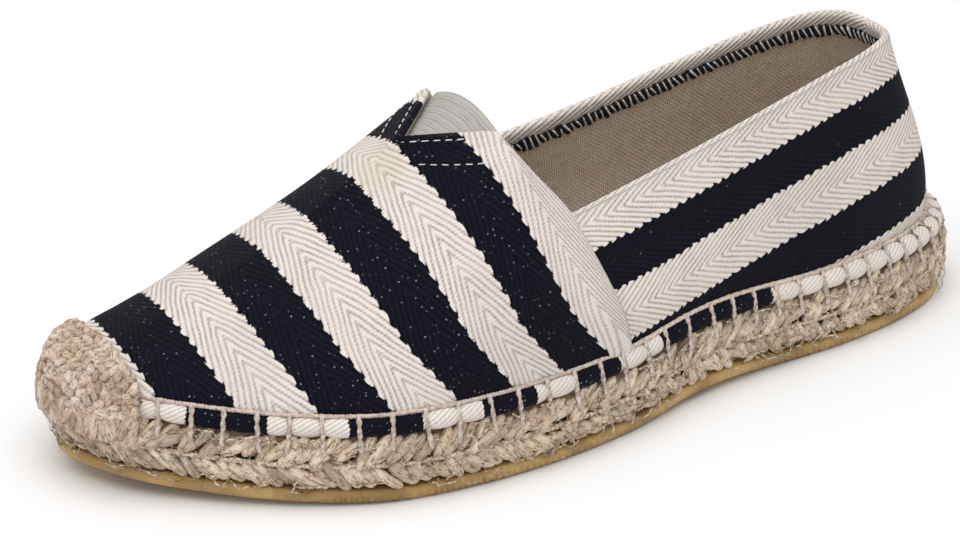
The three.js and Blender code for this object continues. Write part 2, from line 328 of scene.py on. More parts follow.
def capFaces(count, length):
    # an open run of sections with a face over each end
    faces = loopFaces(count, length, False)
    faces.append(tuple(range(length)))
    faces.append(tuple(range(count * length - 1, (count - 1) * length - 1, -1)))
    return faces


def makeShell(name, loops, closed=False):
    # section loops joined into one closed skin
    count, length = loops.shape[:2]
    faces = loopFaces(count, length) if closed else capFaces(count, length)
    return makeObject(name, loops.reshape(-1, 3), faces)


def vertexPlaces(made):
    return np.array([v.co for v in made.data.vertices]) / mm


def setUv(made, name, perPoint):
    layer = made.data.uv_layers.new(name=name)
    corners = np.zeros(len(made.data.loops), int)
    made.data.loops.foreach_get("vertex_index", corners)
    layer.data.foreach_set("uv", np.asarray(perPoint, np.float32)[corners].ravel())


def outwardFaces(made):
    # a closed shell: its faces are turned so that its volume is positive
    mesh = made.data
    mesh.calc_loop_triangles()
    co = np.array([v.co for v in mesh.vertices])
    tri = np.array([t.vertices for t in mesh.loop_triangles])
    a, b, c = co[tri[:, 0]], co[tri[:, 1]], co[tri[:, 2]]
    if np.einsum("ij,ij->i", a, np.cross(b, c)).sum() < 0:
        mesh.flip_normals()


def finishPiece(made, material, slot, *nodes):
    made.data.materials.clear()
    made.data.materials.append(material)
    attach(made, "root")
    if nodes:
        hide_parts(*nodes)


def addNode(tree, kind, values=None, **settings):
    node = tree.nodes.new(kind)
    for key, value in settings.items():
        setattr(node, key, value)
    for key, value in (values or {}).items():
        if isinstance(value, bpy.types.NodeSocket):
            tree.links.new(value, node.inputs[key])
        else:
            node.inputs[key].default_value = value
    return node


def calc(tree, operation, *values):
    return addNode(tree, "ShaderNodeMath", dict(enumerate(values)), operation=operation).outputs[0]


def times(tree, a, b):
    return calc(tree, "MULTIPLY", a, b)


def humps(tree, value):
    # one rounded hump to each unit of the value
    return calc(tree, "ABSOLUTE", calc(tree, "SINE", times(tree, value, math.pi)))


def mixed(tree, factor, a, b):
    return addNode(tree, "ShaderNodeMix", {0: factor, 6: a, 7: b}, data_type="RGBA").outputs[2]


def noise(tree, vector, scale, detail=3.0, rough=0.55):
    values = {"Vector": vector, "Scale": scale, "Detail": detail, "Roughness": rough}
    return addNode(tree, "ShaderNodeTexNoise", values).outputs["Fac"]


def objectPlace(tree):
    return addNode(tree, "ShaderNodeTexCoord").outputs["Object"]


def ownUv(tree, name):
    return addNode(tree, "ShaderNodeUVMap", uv_map=name).outputs[0]


def parted(tree, vector):
    return addNode(tree, "ShaderNodeSeparateXYZ", {0: vector}).outputs


def spread(tree, value, low, high, toLow=0.0, toHigh=1.0, kind="SMOOTHSTEP"):
    values = {0: value, 1: low, 2: high, 3: toLow, 4: toHigh}
    return addNode(tree, "ShaderNodeMapRange", values, interpolation_type=kind).outputs[0]


def shaderGroup(name, inputs, outputs):
    tree = bpy.data.node_groups.new(name, "ShaderNodeTree")
    for key, (kind, value) in inputs.items():
        socket = tree.interface.new_socket(name=key, in_out="INPUT", socket_type="NodeSocket" + kind)
        if value is not None:
            socket.default_value = value
    for key, kind in outputs.items():
        tree.interface.new_socket(name=key, in_out="OUTPUT", socket_type="NodeSocket" + kind)
    return tree, tree.nodes.new("NodeGroupInput"), tree.nodes.new("NodeGroupOutput")


def newMaterial(name, roughness, specular=0.3):
    material = bpy.data.materials.new(name)
    material.use_nodes = True
    tree = material.node_tree
    shader = tree.nodes["Principled BSDF"]
    shader.inputs["Roughness"].default_value = roughness
    shader.inputs["Specular IOR Level"].default_value = specular
    return material, tree, shader


def addBump(tree, shader, height, distance):
    values = {"Height": height, "Distance": distance, "Strength": 1.0}
    tree.links.new(addNode(tree, "ShaderNodeBump", values).outputs[0], shader.inputs["Normal"])


def useGroup(tree, group, values):
    return addNode(tree, "ShaderNodeGroup", values, node_tree=group).outputs


twillPlan = {
    "fuzzScale": 1700,
    "driftScale": 90,
    "wander": 0.9,
    "yarnShape": 1.1,
    "plyPitch": 1.05,
    "stepMiddle": 0.6,
    "raggedScale": 230,
    "edgeBlur": 0.12,
    "speckScale": 880.0,
    "speckEdge": (0.27, 0.12),
}


# Twill with one chevron to a stripe. Stripe is the way to the nearest colour edge, dark side
# positive; Chevron the way to the stripe's own edge; Along runs with the stripe; all in mm.
def makeTwillGroup():
    inputs = {
        "Stripe": ("Float", 0.0),
        "Chevron": ("Float", 0.0),
        "Along": ("Float", 0.0),
        "Position": ("Vector", None),
        "Rib pitch": ("Float", 1.4),
        "Rib angle": ("Float", math.radians(20)),
        "Edge steps": ("Float", 0.9),
        "Speck share": ("Float", 0.2),
    }
    outputs = {"Height": "Float", "Dark": "Float", "Speck": "Float", "Shade and mottle": "Float"}
    tree, given, result = shaderGroup("chevronTwill", inputs, outputs)
    g = given.outputs
    plan = twillPlan
    fuzz = noise(tree, g["Position"], plan["fuzzScale"], 3, 0.65)
    drift = noise(tree, g["Position"], plan["driftScale"], 2)
    sine = calc(tree, "SINE", g["Rib angle"])
    cosine = calc(tree, "COSINE", g["Rib angle"])
    across = times(tree, g["Along"], sine)
    across = calc(tree, "MULTIPLY_ADD", g["Chevron"], cosine, across)
    along = times(tree, g["Chevron"], sine)
    along = calc(tree, "SUBTRACT", times(tree, g["Along"], cosine), along)
    wander = calc(tree, "MULTIPLY_ADD", drift, plan["wander"], -plan["wander"] / 2)
    ribs = calc(tree, "ADD", calc(tree, "DIVIDE", across, g["Rib pitch"]), wander)
    wave = humps(tree, ribs)
    yarn = calc(tree, "POWER", wave, plan["yarnShape"])
    turns = calc(tree, "DIVIDE", along, plan["plyPitch"])
    turns = calc(tree, "ADD", turns, calc(tree, "FRACT", ribs))
    ply = humps(tree, turns)
    height = calc(tree, "MULTIPLY_ADD", yarn, 0.7, times(tree, ply, 0.2))
    height = calc(tree, "MULTIPLY_ADD", fuzz, 0.4, height)
    tree.links.new(height, result.inputs["Height"])
    steps = times(tree, calc(tree, "SUBTRACT", wave, plan["stepMiddle"]), g["Edge steps"])
    edge = calc(tree, "SUBTRACT", g["Stripe"], steps)
    ragged = calc(tree, "ADD", noise(tree, g["Position"], plan["raggedScale"], 2), -0.5)
    edge = calc(tree, "ADD", edge, ragged)
    dark = spread(tree, edge, -plan["edgeBlur"], plan["edgeBlur"])
    tree.links.new(dark, result.inputs["Dark"])
    values = {"Vector": g["Position"], "Scale": plan["speckScale"]}
    dots = addNode(tree, "ShaderNodeTexVoronoi", values)
    chance = addNode(tree, "ShaderNodeSeparateColor", {0: dots.outputs["Color"]}).outputs
    spot = spread(tree, dots.outputs["Distance"], *plan["speckEdge"])
    chosen = calc(tree, "LESS_THAN", chance[0], g["Speck share"])
    bright = times(tree, times(tree, chance[1], chance[1]), chosen)
    tree.links.new(times(tree, spot, bright), result.inputs["Speck"])
    # painted shade: lighter on the yarn tops and darker in the grooves between ribs and plies, with fibre
    # mottle from the fuzz
    tone = calc(tree, "MULTIPLY_ADD", yarn, 0.5, times(tree, ply, 0.14))
    tone = calc(tree, "MULTIPLY_ADD", fuzz, 0.75, tone)
    tree.links.new(tone, result.inputs["Shade and mottle"])
    return tree


# Bast fibre: streaks along a strand. Strand carries the way round and along it.
def makeFibreGroup():
    inputs = {
        "Strand": ("Vector", None),
        "Position": ("Vector", None),
        "Streaks": ("Float", 9.0),
        "Dark": ("Color", (0.22, 0.13, 0.07, 1)),
        "Middle": ("Color", (0.55, 0.39, 0.25, 1)),
        "Light": ("Color", (0.78, 0.62, 0.46, 1)),
    }
    tree, given, result = shaderGroup("bastFibre", inputs, {"Height": "Float", "Color": "Color"})
    g = given.outputs
    values = {0: g["Strand"], 1: (1.0, 0.05, 1.0)}
    stretch = addNode(tree, "ShaderNodeVectorMath", values, operation="MULTIPLY")
    streak = noise(tree, stretch.outputs[0], g["Streaks"], 4, 0.65)
    fine = noise(tree, g["Position"], 1400, 2)
    patch = noise(tree, g["Position"], 110, 3)
    height = calc(tree, "ADD", times(tree, streak, 0.75), times(tree, fine, 0.25))
    tree.links.new(height, result.inputs["Height"])
    base = mixed(tree, spread(tree, patch, 0.35, 0.68), g["Middle"], g["Light"])
    # painted shade: darker where the streaks are low, in the crevices between fibres
    base = mixed(tree, spread(tree, height, 0.54, 0.36, 0.0, 0.9), base, g["Dark"])
    base = mixed(tree, spread(tree, fine, 0.55, 0.8, 0.0, 0.5), base, g["Light"])
    tree.links.new(base, result.inputs["Color"])
    return tree


# Plain weave from two yarn directions of a flat pattern vector, in mm
def makeWeaveGroup():
    inputs = {"Pattern": ("Vector", None), "Position": ("Vector", None), "Yarn": ("Float", 0.75)}
    tree, given, result = shaderGroup("plainWeave", inputs, {"Height": "Float", "Shade and mottle": "Float"})
    g = given.outputs
    xyz = parted(tree, g["Pattern"])
    wobble = noise(tree, g["Position"], 160, 2)
    u = calc(tree, "ADD", calc(tree, "DIVIDE", xyz[0], g["Yarn"]), wobble)
    v = calc(tree, "ADD", calc(tree, "DIVIDE", xyz[1], g["Yarn"]), wobble)
    warp = humps(tree, u)
    weft = humps(tree, v)
    cross = calc(tree, "ADD", calc(tree, "FLOOR", u), calc(tree, "FLOOR", v))
    over = calc(tree, "PINGPONG", cross, 1.0)
    top = addNode(tree, "ShaderNodeMix", {0: over, 2: warp, 3: weft}, data_type="FLOAT").outputs[0]
    fuzz = noise(tree, g["Position"], 1300, 2)
    height = calc(tree, "ADD", times(tree, top, 0.8), times(tree, fuzz, 0.3))
    tree.links.new(height, result.inputs["Height"])
    patch = noise(tree, g["Position"], 420, 3)
    # painted shade: darker between the yarns and lighter on the yarn tops, with random patches
    tone = calc(tree, "ADD", times(tree, top, 0.5), times(tree, patch, 0.5))
    tree.links.new(tone, result.inputs["Shade and mottle"])
    return tree


twillGroup = makeTwillGroup()
fibreGroup = makeFibreGroup()
weaveGroup = makeWeaveGroup()

# Cloth colours: the deep and middle creams and the deep navy are painted shade in the grooves, the top cream
# and navy painted light on the yarn tops
clothLook = {
    "creamGrooveShade": (0.41, 0.35, 0.30, 1),
    "creamShadeMiddle": (0.58, 0.51, 0.45, 1),
    "creamLitTop": (0.85, 0.775, 0.715, 1),
    "navyGrooveShade": (0.003, 0.003, 0.006, 1),
    "navyLitTop": (0.0085, 0.0082, 0.0155, 1),
    "speck": (0.25, 0.26, 0.32, 1),
    "bump": 0.00045,
    "roughness": 0.95,
    "pitch": 1.4,
    "angle": math.radians(20),
    "specks": 0.5,
    "edgeSteps": 0.9,
    "worn": (0.62, 0.565, 0.51, 1),
    "stain": (0, 0, 0),
    "stainColour": (0.66, 0.59, 0.41, 1),
}


def stripedCloth(name, look):
    material, tree, shader = newMaterial(name, look["roughness"], 0.06)
    place = objectPlace(tree)
    clothXy = parted(tree, ownUv(tree, "cloth"))
    ribsXy = parted(tree, ownUv(tree, "ribs"))
    values = {"Stripe": clothXy[0], "Along": clothXy[1], "Chevron": ribsXy[0], "Position": place}
    values.update({"Rib pitch": look["pitch"], "Rib angle": look["angle"]})
    values.update({"Edge steps": look["edgeSteps"], "Speck share": look["specks"]})
    twill = useGroup(tree, twillGroup, values)
    # painted shade and light: cream and navy go from their groove shade colours to their lit yarn-top
    # colours along the tone, which also carries fibre mottle
    tone = spread(tree, twill["Shade and mottle"], 0.3, 0.98)
    patchy = spread(tree, noise(tree, place, 130, 2), 0.38, 0.66)
    deep = mixed(tree, patchy, look["creamGrooveShade"], look["creamShadeMiddle"])
    cream = mixed(tree, tone, deep, look["creamLitTop"])
    worn = spread(tree, noise(tree, place, 28, 2), 0.4, 0.7, 0.0, 0.3)
    cream = mixed(tree, worn, cream, look["worn"])
    away = addNode(tree, "ShaderNodeVectorMath", {0: place, 1: look["stain"]}, operation="DISTANCE")
    stained = spread(tree, away.outputs["Value"], 0.003, 0.012, 0.45, 0.0)
    cream = mixed(tree, stained, cream, look["stainColour"])
    navy = mixed(tree, tone, look["navyGrooveShade"], look["navyLitTop"])
    navy = mixed(tree, twill["Speck"], navy, look["speck"])
    tree.links.new(mixed(tree, twill["Dark"], cream, navy), shader.inputs["Base Color"])
    soft = calc(tree, "MULTIPLY_ADD", twill["Dark"], -0.55, 1.0)
    shader.inputs["Sheen Weight"].default_value = 0.03
    shader.inputs["Sheen Roughness"].default_value = 0.5
    addBump(tree, shader, times(tree, twill["Height"], soft), look["bump"])
    return material


def fibreMaterial(name, dark, middle, light, streaks=9.0):
    material, tree, shader = newMaterial(name, 0.85, 0.25)
    place = objectPlace(tree)
    strand = ownUv(tree, "strand")
    values = {"Strand": strand, "Position": place, "Streaks": streaks}
    values.update({"Dark": dark, "Middle": middle, "Light": light})
    fibre = useGroup(tree, fibreGroup, values)
    own = addNode(tree, "ShaderNodeAttribute", attribute_name="tone").outputs["Fac"]
    colour = mixed(tree, spread(tree, own, 0.3, 1, 0.0, 0.5, "LINEAR"), fibre["Color"], dark)
    # painted shade: darker on each strand's inward side and near its ends, where it lies against and under
    # its neighbours
    creviceShadeXy = parted(tree, ownUv(tree, "round"))
    colour = mixed(tree, spread(tree, creviceShadeXy[0], 0.5, 0.15, 0.0, 0.85), colour, dark)
    colour = mixed(tree, spread(tree, creviceShadeXy[1], 0.78, 1.0, 0.0, 0.6), colour, dark)
    tree.links.new(colour, shader.inputs["Base Color"])
    addBump(tree, shader, fibre["Height"], 0.0006)
    return material


def threadMaterial(name, dark, light, pitch=0.0011):
    material, tree, shader = newMaterial(name, 0.8, 0.25)
    place = objectPlace(tree)
    wave = noise(tree, place, 1 / pitch, 2, 0.6)
    tone = spread(tree, wave, 0.35, 0.65)
    tree.links.new(mixed(tree, tone, dark, light), shader.inputs["Base Color"])
    addBump(tree, shader, wave, 0.0004)
    return material


def treeWith(name, inputs):
    tree = bpy.data.node_groups.new(name, "GeometryNodeTree")
    tree.interface.new_socket(name="Geometry", in_out="INPUT", socket_type="NodeSocketGeometry")
    for key, kind in inputs.items():
        tree.interface.new_socket(name=key, in_out="INPUT", socket_type="NodeSocket" + kind)
    tree.interface.new_socket(name="Geometry", in_out="OUTPUT", socket_type="NodeSocketGeometry")
    return tree, tree.nodes.new("NodeGroupInput").outputs, tree.nodes.new("NodeGroupOutput")


def endTree(tree, last, given, result):
    # real geometry with its material, as every tree's result
    real = addNode(tree, "GeometryNodeRealizeInstances", {"Geometry": last.outputs[0]})
    values = {"Geometry": real.outputs[0], "Material": given["Material"]}
    done = addNode(tree, "GeometryNodeSetMaterial", values)
    tree.links.new(done.outputs[0], result.inputs[0])


def namedValue(tree, name):
    values = {"Name": name}
    node = addNode(tree, "GeometryNodeInputNamedAttribute", values, data_type="FLOAT_VECTOR")
    return node.outputs["Attribute"]


def randomFloat(tree, low, high, seed):
    node = addNode(tree, "FunctionNodeRandomValue", {2: low, 3: high, 8: seed}, data_type="FLOAT")
    return node.outputs[1]


# Pieces from a collection on guide points that carry along, outward and size vectors
def makeRowTree():
    inputs = {
        "Pieces": "Collection",
        "Seed": "Int",
        "Size jitter": "Float",
        "Turn jitter": "Float",
        "Material": "Material",
    }
    tree, given, result = treeWith("rowOfPieces", inputs)
    info = addNode(tree, "GeometryNodeCollectionInfo", {"Collection": given["Pieces"]})
    info.inputs["Separate Children"].default_value = True
    info.inputs["Reset Children"].default_value = True
    facing = addNode(
        tree, "FunctionNodeAlignRotationToVector", {"Vector": namedValue(tree, "outward")}, axis="Z"
    )
    values = {"Rotation": facing.outputs[0], "Vector": namedValue(tree, "along")}
    turned = addNode(tree, "FunctionNodeAlignRotationToVector", values, axis="X", pivot_axis="Z")
    less = times(tree, given["Turn jitter"], -1.0)
    angle = randomFloat(tree, less, given["Turn jitter"], given["Seed"])
    spin = addNode(tree, "FunctionNodeAxisAngleToRotation", {"Axis": (0, 0, 1), "Angle": angle})
    values = {"Rotation": turned.outputs[0], "Rotate By": spin.outputs[0]}
    rotation = addNode(tree, "FunctionNodeRotateRotation", values, rotation_space="LOCAL")
    seed2 = calc(tree, "ADD", given["Seed"], 7.0)
    bigger = calc(tree, "ADD", 1.0, given["Size jitter"])
    smaller = calc(tree, "SUBTRACT", 1.0, given["Size jitter"])
    grow = randomFloat(tree, smaller, bigger, seed2)
    scale = addNode(
        tree, "ShaderNodeVectorMath", {0: namedValue(tree, "size"), "Scale": grow}, operation="SCALE"
    )
    pick = addNode(tree, "FunctionNodeRandomValue", {4: 0, 5: 5, 8: given["Seed"]}, data_type="INT")
    values = {
        "Points": given["Geometry"],
        "Instance": info.outputs[0],
        "Pick Instance": True,
        "Instance Index": pick.outputs[2],
        "Rotation": rotation.outputs[0],
        "Scale": scale.outputs[0],
    }
    placed = addNode(tree, "GeometryNodeInstanceOnPoints", values)
    tone = randomFloat(tree, 0.0, 1.0, calc(tree, "ADD", given["Seed"], 3.0))
    values = {"Geometry": placed.outputs[0], "Name": "tone", "Value": tone}
    stored = addNode(tree, "GeometryNodeStoreNamedAttribute", values, data_type="FLOAT", domain="INSTANCE")
    endTree(tree, stored, given, result)
    return tree


# A cord of a lobed, twisted section along every polyline of the guide
def makeCordTree():
    inputs = {
        "Radius": "Float",
        "Sides": "Int",
        "Lobes": "Float",
        "Lobe depth": "Float",
        "Turns per metre": "Float",
        "Material": "Material",
    }
    tree, given, result = treeWith("cordAlong", inputs)
    curve = addNode(tree, "GeometryNodeMeshToCurve", {"Mesh": given["Geometry"]})
    way = tree.nodes.new("GeometryNodeSplineParameter")
    turns = times(tree, way.outputs["Length"], given["Turns per metre"])
    tilt = times(tree, turns, 2 * math.pi)
    tilted = addNode(tree, "GeometryNodeSetCurveTilt", {"Curve": curve.outputs[0], "Tilt": tilt})
    circle = addNode(
        tree, "GeometryNodeCurvePrimitiveCircle", {"Resolution": given["Sides"], "Radius": given["Radius"]}
    )
    index = tree.nodes.new("GeometryNodeInputIndex")
    step = calc(tree, "DIVIDE", 2 * math.pi, given["Sides"])
    roundWay = times(tree, times(tree, index.outputs[0], step), given["Lobes"])
    lobes = calc(tree, "MULTIPLY_ADD", calc(tree, "COSINE", roundWay), given["Lobe depth"], 1.0)
    place = tree.nodes.new("GeometryNodeInputPosition")
    moved = addNode(tree, "ShaderNodeVectorMath", {0: place.outputs[0], "Scale": lobes}, operation="SCALE")
    values = {"Geometry": circle.outputs[0], "Position": moved.outputs[0]}
    profile = addNode(tree, "GeometryNodeSetPosition", values)
    values = {"Curve": tilted.outputs[0], "Profile Curve": profile.outputs[0], "Fill Caps": True}
    body = addNode(tree, "GeometryNodeCurveToMesh", values)
    endTree(tree, body, given, result)
    return tree


rowTree = makeRowTree()
cordTree = makeCordTree()


def grown(name, guide, tree, settings):
    # runs a tree on the guide and keeps the result as a plain mesh
    modifier = guide.modifiers.new(tree.name, "NODES")
    modifier.node_group = tree
    for item in tree.interface.items_tree:
        if item.in_out == "INPUT" and item.name in settings:
            modifier[item.identifier] = settings[item.name]
    bpy.context.view_layer.update()
    graph = bpy.context.evaluated_depsgraph_get()
    mesh = bpy.data.meshes.new_from_object(
        guide.evaluated_get(graph), preserve_all_data_layers=True, depsgraph=graph
    )
    mesh.name = name
    mesh.shade_smooth()
    made = bpy.data.objects.new(name, mesh)
    scene.collection.objects.link(made)
    bpy.data.objects.remove(guide)
    print("grown", name, len(mesh.polygons))
    return made


def pointGuide(name, points, along, outward, size):
    guide = makeObject(name, points, [])
    for key, value in (("along", along), ("outward", outward), ("size", size)):
        layer = guide.data.attributes.new(key, "FLOAT_VECTOR", "POINT")
        layer.data.foreach_set("vector", np.broadcast_to(value, points.shape).astype(np.float32).ravel())
    return guide


def growRows(name, rows, settings, material, slot):
    # a plain mesh of pieces on rows of place, axis, outward direction and size
    guide = pointGuide(name + "Guide", *[np.array(column) for column in zip(*rows)])
    settings["Material"] = material
    finishPiece(grown(name, guide, rowTree, settings), material, slot)


def cordGuide(name, lines, closed=False):
    edges, start = [], 0
    for line in lines:
        count = len(line)
        edges += [(start + i, start + i + 1) for i in range(count - 1)]
        if closed:
            edges.append((start + count - 1, start))
        start += count
    return makeObject(name, np.concatenate(lines), [], edges)


# Templates stay outside the scene; a unit is one metre of the guide's size vector
def spindle(name, rings, sides, lobes, lobeDepth, blunt, bend, seed):
    chance = np.random.default_rng(seed)
    ways = -np.cos(np.linspace(0, np.pi, rings))
    angles = np.linspace(0, 2 * np.pi, sides, endpoint=False)
    points, uv, creviceShadeUv = [], [], []
    for way in ways:
        radius = 0.5 * max(0.0, 1 - abs(way) ** blunt) ** 0.5 + 0.01
        lobed = radius * (1 + lobeDepth * np.cos(lobes * angles + way * 1.5))
        lobed = lobed * (1 + chance.normal(0, 0.03, sides))
        y = lobed * np.cos(angles) + bend * (1 - way * way)
        points.append(np.stack([np.full(sides, way / 2), y, lobed * np.sin(angles)], 1))
        uv.append(np.stack([angles / np.pi + seed * 3.1, np.full(sides, way * 4 + seed)], 1))
        # which side faces out and how near the ends, for the painted shade on the strand's inward side and
        # ends
        creviceShadeUv.append(np.stack([np.sin(angles) / 2 + 0.5, np.full(sides, abs(way))], 1))
    points = np.concatenate(points)
    mesh = bpy.data.meshes.new(name)
    mesh.from_pydata(points.tolist(), [], capFaces(rings, sides))
    mesh.update()
    made = bpy.data.objects.new(name, mesh)
    setUv(made, "strand", np.concatenate(uv))
    setUv(made, "round", np.concatenate(creviceShadeUv))
    outwardFaces(made)
    mesh.shade_smooth()
    return made


def templates(name, variants, **shape):
    group = bpy.data.collections.new(name)
    for k in range(variants):
        group.objects.link(spindle(f"{name}{k}", seed=k + 1, **shape))
    return group


# Striped cloth: stripe edges across the vamp, and below the collar on the quarters
stripePlan = {
    "vampTilt": math.radians(20),
    "vampEdges": [91, 77, 63.5, 50, 36.6, 22.4, 9.6, -3.7],
    "vampFolds": [104, 91, 77, 63.5, 50, 36.6, 22.4, 9.6, -3.7, -17],
    "sideSlope": 0.06,
    "sideDrop": 5.0,
    "quarterEdges": [10.5, 21.5, 34.5, 48],
    "quarterFolds": [-15, -2, 10.5, 21.5, 34.5, 48, 61],
}


def toNearest(values, edges):
    return np.abs(values[..., None] - np.array(edges, float)).min(-1)


def signedStripe(values, edges):
    # cream beyond the first edge, then dark, cream and so on
    ordered = np.sort(np.array(edges, float))
    if edges[0] > edges[-1]:
        passed = len(ordered) - np.searchsorted(ordered, values)
    else:
        passed = np.searchsorted(ordered, values)
    return toNearest(values, edges) * np.where(passed % 2 == 1, 1, -1)


# Every plane of equal q cuts the vamp in one arc. The arcs are gathered as radius by angle round a
# low centre, and the way along a stripe is the run of its arc from straight above that centre.
arcPlan = {
    "centre": (-5.0, 14.0),
    "q": (-40, 112, 2.0),
    "angle": (-8, 190, 4.0),
    "fewest": 6,
    "radius": 40.0,
    "smoothing": 3,
}


def vampPattern(grid):
    # stripe coordinate of every point, and the way along the stripe from the middle of the foot
    plan = arcPlan
    tilt = stripePlan["vampTilt"]
    row = grid + rowOrigin
    q = row[..., 0] * math.cos(tilt) - row[..., 2] * math.sin(tilt)
    w = row[..., 0] * math.sin(tilt) + row[..., 2] * math.cos(tilt)
    y0, low = plan["centre"]
    x0 = (q + low * math.sin(tilt)) / math.cos(tilt)
    w0 = x0 * math.sin(tilt) + low * math.cos(tilt)
    angle = np.degrees(np.arctan2(w - w0, row[..., 1] - y0))
    radius = np.hypot(w - w0, row[..., 1] - y0)
    qBins, aBins = np.arange(*plan["q"]), np.arange(*plan["angle"])
    qStep, aStep = plan["q"][2], plan["angle"][2]
    table = np.full((len(qBins), len(aBins)), np.nan)
    qi = np.clip(np.round((q - qBins[0]) / qStep).astype(int), 0, len(qBins) - 1)
    ai = np.clip(np.round((angle - aBins[0]) / aStep).astype(int), 0, len(aBins) - 1)
    total, hits = np.zeros(table.shape), np.zeros(table.shape)
    np.add.at(total, (qi, ai), radius)
    np.add.at(hits, (qi, ai), 1)
    found = hits > 0
    table[found] = total[found] / hits[found]
    lastRow = np.full(len(aBins), plan["radius"])
    for i in range(len(qBins)):
        known = ~np.isnan(table[i])
        if known.sum() > plan["fewest"]:
            lastRow = np.interp(aBins, aBins[known], table[i][known])
        table[i] = lastRow
    for _ in range(plan["smoothing"]):
        table[1:-1] = (table[:-2] + 2 * table[1:-1] + table[2:]) / 4
        table[:, 1:-1] = (table[:, :-2] + 2 * table[:, 1:-1] + table[:, 2:]) / 4
    dr = np.gradient(table, aBins, axis=1)
    speed = np.hypot(dr, table * math.pi / 180)
    arcs = np.cumsum((speed[:, 1:] + speed[:, :-1]) / 2 * aStep, 1)
    run = np.concatenate([np.zeros((len(qBins), 1)), arcs], 1)
    run -= np.array([np.interp(90, aBins, r) for r in run])[:, None]
    fq = np.clip((q - qBins[0]) / qStep, 0, len(qBins) - 1.001)
    fa = np.clip((angle - aBins[0]) / aStep, 0, len(aBins) - 1.001)
    i, k = fq.astype(int), fa.astype(int)
    u, v = fq - i, fa - k
    way = run[i, k] * (1 - u) * (1 - v) + run[i + 1, k] * u * (1 - v)
    way += run[i, k + 1] * (1 - u) * v + run[i + 1, k + 1] * u * v
    side, height = row[..., 1], row[..., 2]
    drop = stripePlan["sideDrop"] * np.clip((78 - q) / 40, 0, 1) * smooth((40 - height) / 20)
    return q - stripePlan["sideSlope"] * side + drop, -way


def stripeUv(made, stripe, along, fold, extra):
    setUv(made, "cloth", np.stack([stripe.ravel(), along.ravel()], 1))
    setUv(made, "ribs", np.stack([fold.ravel(), extra.ravel()], 1))


stain = tuple(((np.array([170, 3, 70]) + rowOrigin) * mm).tolist())
vampMaterial = stripedCloth("vampTwill", dict(clothLook, stain=stain))
quarterLook = dict(clothLook, pitch=1.22, angle=math.radians(26), specks=0.05, edgeSteps=0.8)
quarterMaterial = stripedCloth("quarterTwill", quarterLook)

# Stitch places round the hem: about 8 mm apart, 6 at the heel
hemPlan = {
    "cell": 8.0,
    "heelCell": 6.2,
    "jitter": 0.08,
    "centreInset": 3.0,
    "outward": 2.9,
    "upward": 2.75,
    "pinch": 0.34,
    "profile": 16,
    "shift": (1.5, 4.5),
    "vampEnd": 0.036,
    "quarterShift": 3.0,
    "level": 2.2,
    "unevenness": 0.07,
    "puckerFade": 4.0,
    "look": {
        # the hem cloth's painted light on the yarn tops and painted shade in the grooves
        "creamLitTop": (0.88, 0.81, 0.75, 1),
        "creamGrooveShade": (0.62, 0.55, 0.49, 1),
        "pitch": 0.95,
        "bump": 0.00025,
        "specks": 0.7,
        "edgeSteps": 0.2,
    },
}
hemRing = stationRing(6)
hemCrease = beside(hemRing, clothFoot(hemRing["share"]), hemTop)
hemLine = beside(hemRing, hemPlan["centreInset"], upperFoot + 2)


def loopRun(line):
    return np.concatenate([[0], np.cumsum(np.linalg.norm(np.roll(line, -1, 0) - line, axis=1))])


def stitchPlaces():
    run = loopRun(hemLine)
    places, way = [], 2.0
    while way < run[-1] - 3.5:
        places.append(way)
        share = np.interp(way, run[:-1], hemRing["share"])
        cell = hemPlan["heelCell"] + (hemPlan["cell"] - hemPlan["heelCell"]) * smooth(share / 0.35)
        way += cell * (1 + rng.uniform(-hemPlan["jitter"], hemPlan["jitter"]))
    return run, np.array(places)


hemRun, stitchWays = stitchPlaces()


def cellPhase(ways):
    ends = np.concatenate([stitchWays, [stitchWays[0] + hemRun[-1]]])
    wrapped = np.where(ways < ends[0], ways + hemRun[-1], ways)
    index = np.clip(np.searchsorted(ends, wrapped, "right") - 1, 0, len(ends) - 2)
    return index, (wrapped - ends[index]) / (ends[index + 1] - ends[index])


# The vamp: one folded sheet, thicker at its rear edge and round the notch
vampPlan = {
    "fine": 6,
    "rows": 104,
    "innerRows": 20,
    "thick": 0.95,
    "lift": 0.2,
    "seamLift": 1.15,
    "seamWidth": 11.0,
    "notchFold": 0.55,
    "notchWidth": 4.0,
    "pucker": 0.55,
    "wave": 0.35,
    "crowding": 1.35,
    "sideRun": 262,
    "stitchDepth": 1.7,
    "stitchWidth": 0.5,
    "stitchSink": 0.3,
    "overShare": 0.484,
    "overBlend": 0.014,
    "overlap": 0.15,
}


def puckers(ring, depthFromCrease):
    # small gathers above each stitch, fading up the cloth
    near = beside(ring, hemPlan["centreInset"], 0)
    way = np.array([hemRun[np.argmin(np.linalg.norm((hemLine - p)[:, :2], axis=1))] for p in near])
    _, phase = cellPhase(way)
    fold = -(np.abs(np.cos(np.pi * phase)) ** 3)
    return fold[:, None] * np.exp(-np.maximum(depthFromCrease, 0) / hemPlan["puckerFade"])


def roundedShell(outer, inner):
    # section loops from two faces of a sheet, with a round upper edge
    middleTop = (outer[:, -1] + inner[:, -1]) / 2
    width = np.linalg.norm(outer[:, -1] - inner[:, -1], axis=1)[:, None]
    reach = unit(outer[:, -1] - outer[:, -2]) * width / 2
    caps = []
    for angle in (45, 90, 135):
        turn = math.radians(angle)
        caps.append(middleTop + (outer[:, -1] - middleTop) * math.cos(turn) + reach * math.sin(turn))
    return np.concatenate([outer, np.stack(caps, 1), inner[:, ::-1]], 1)


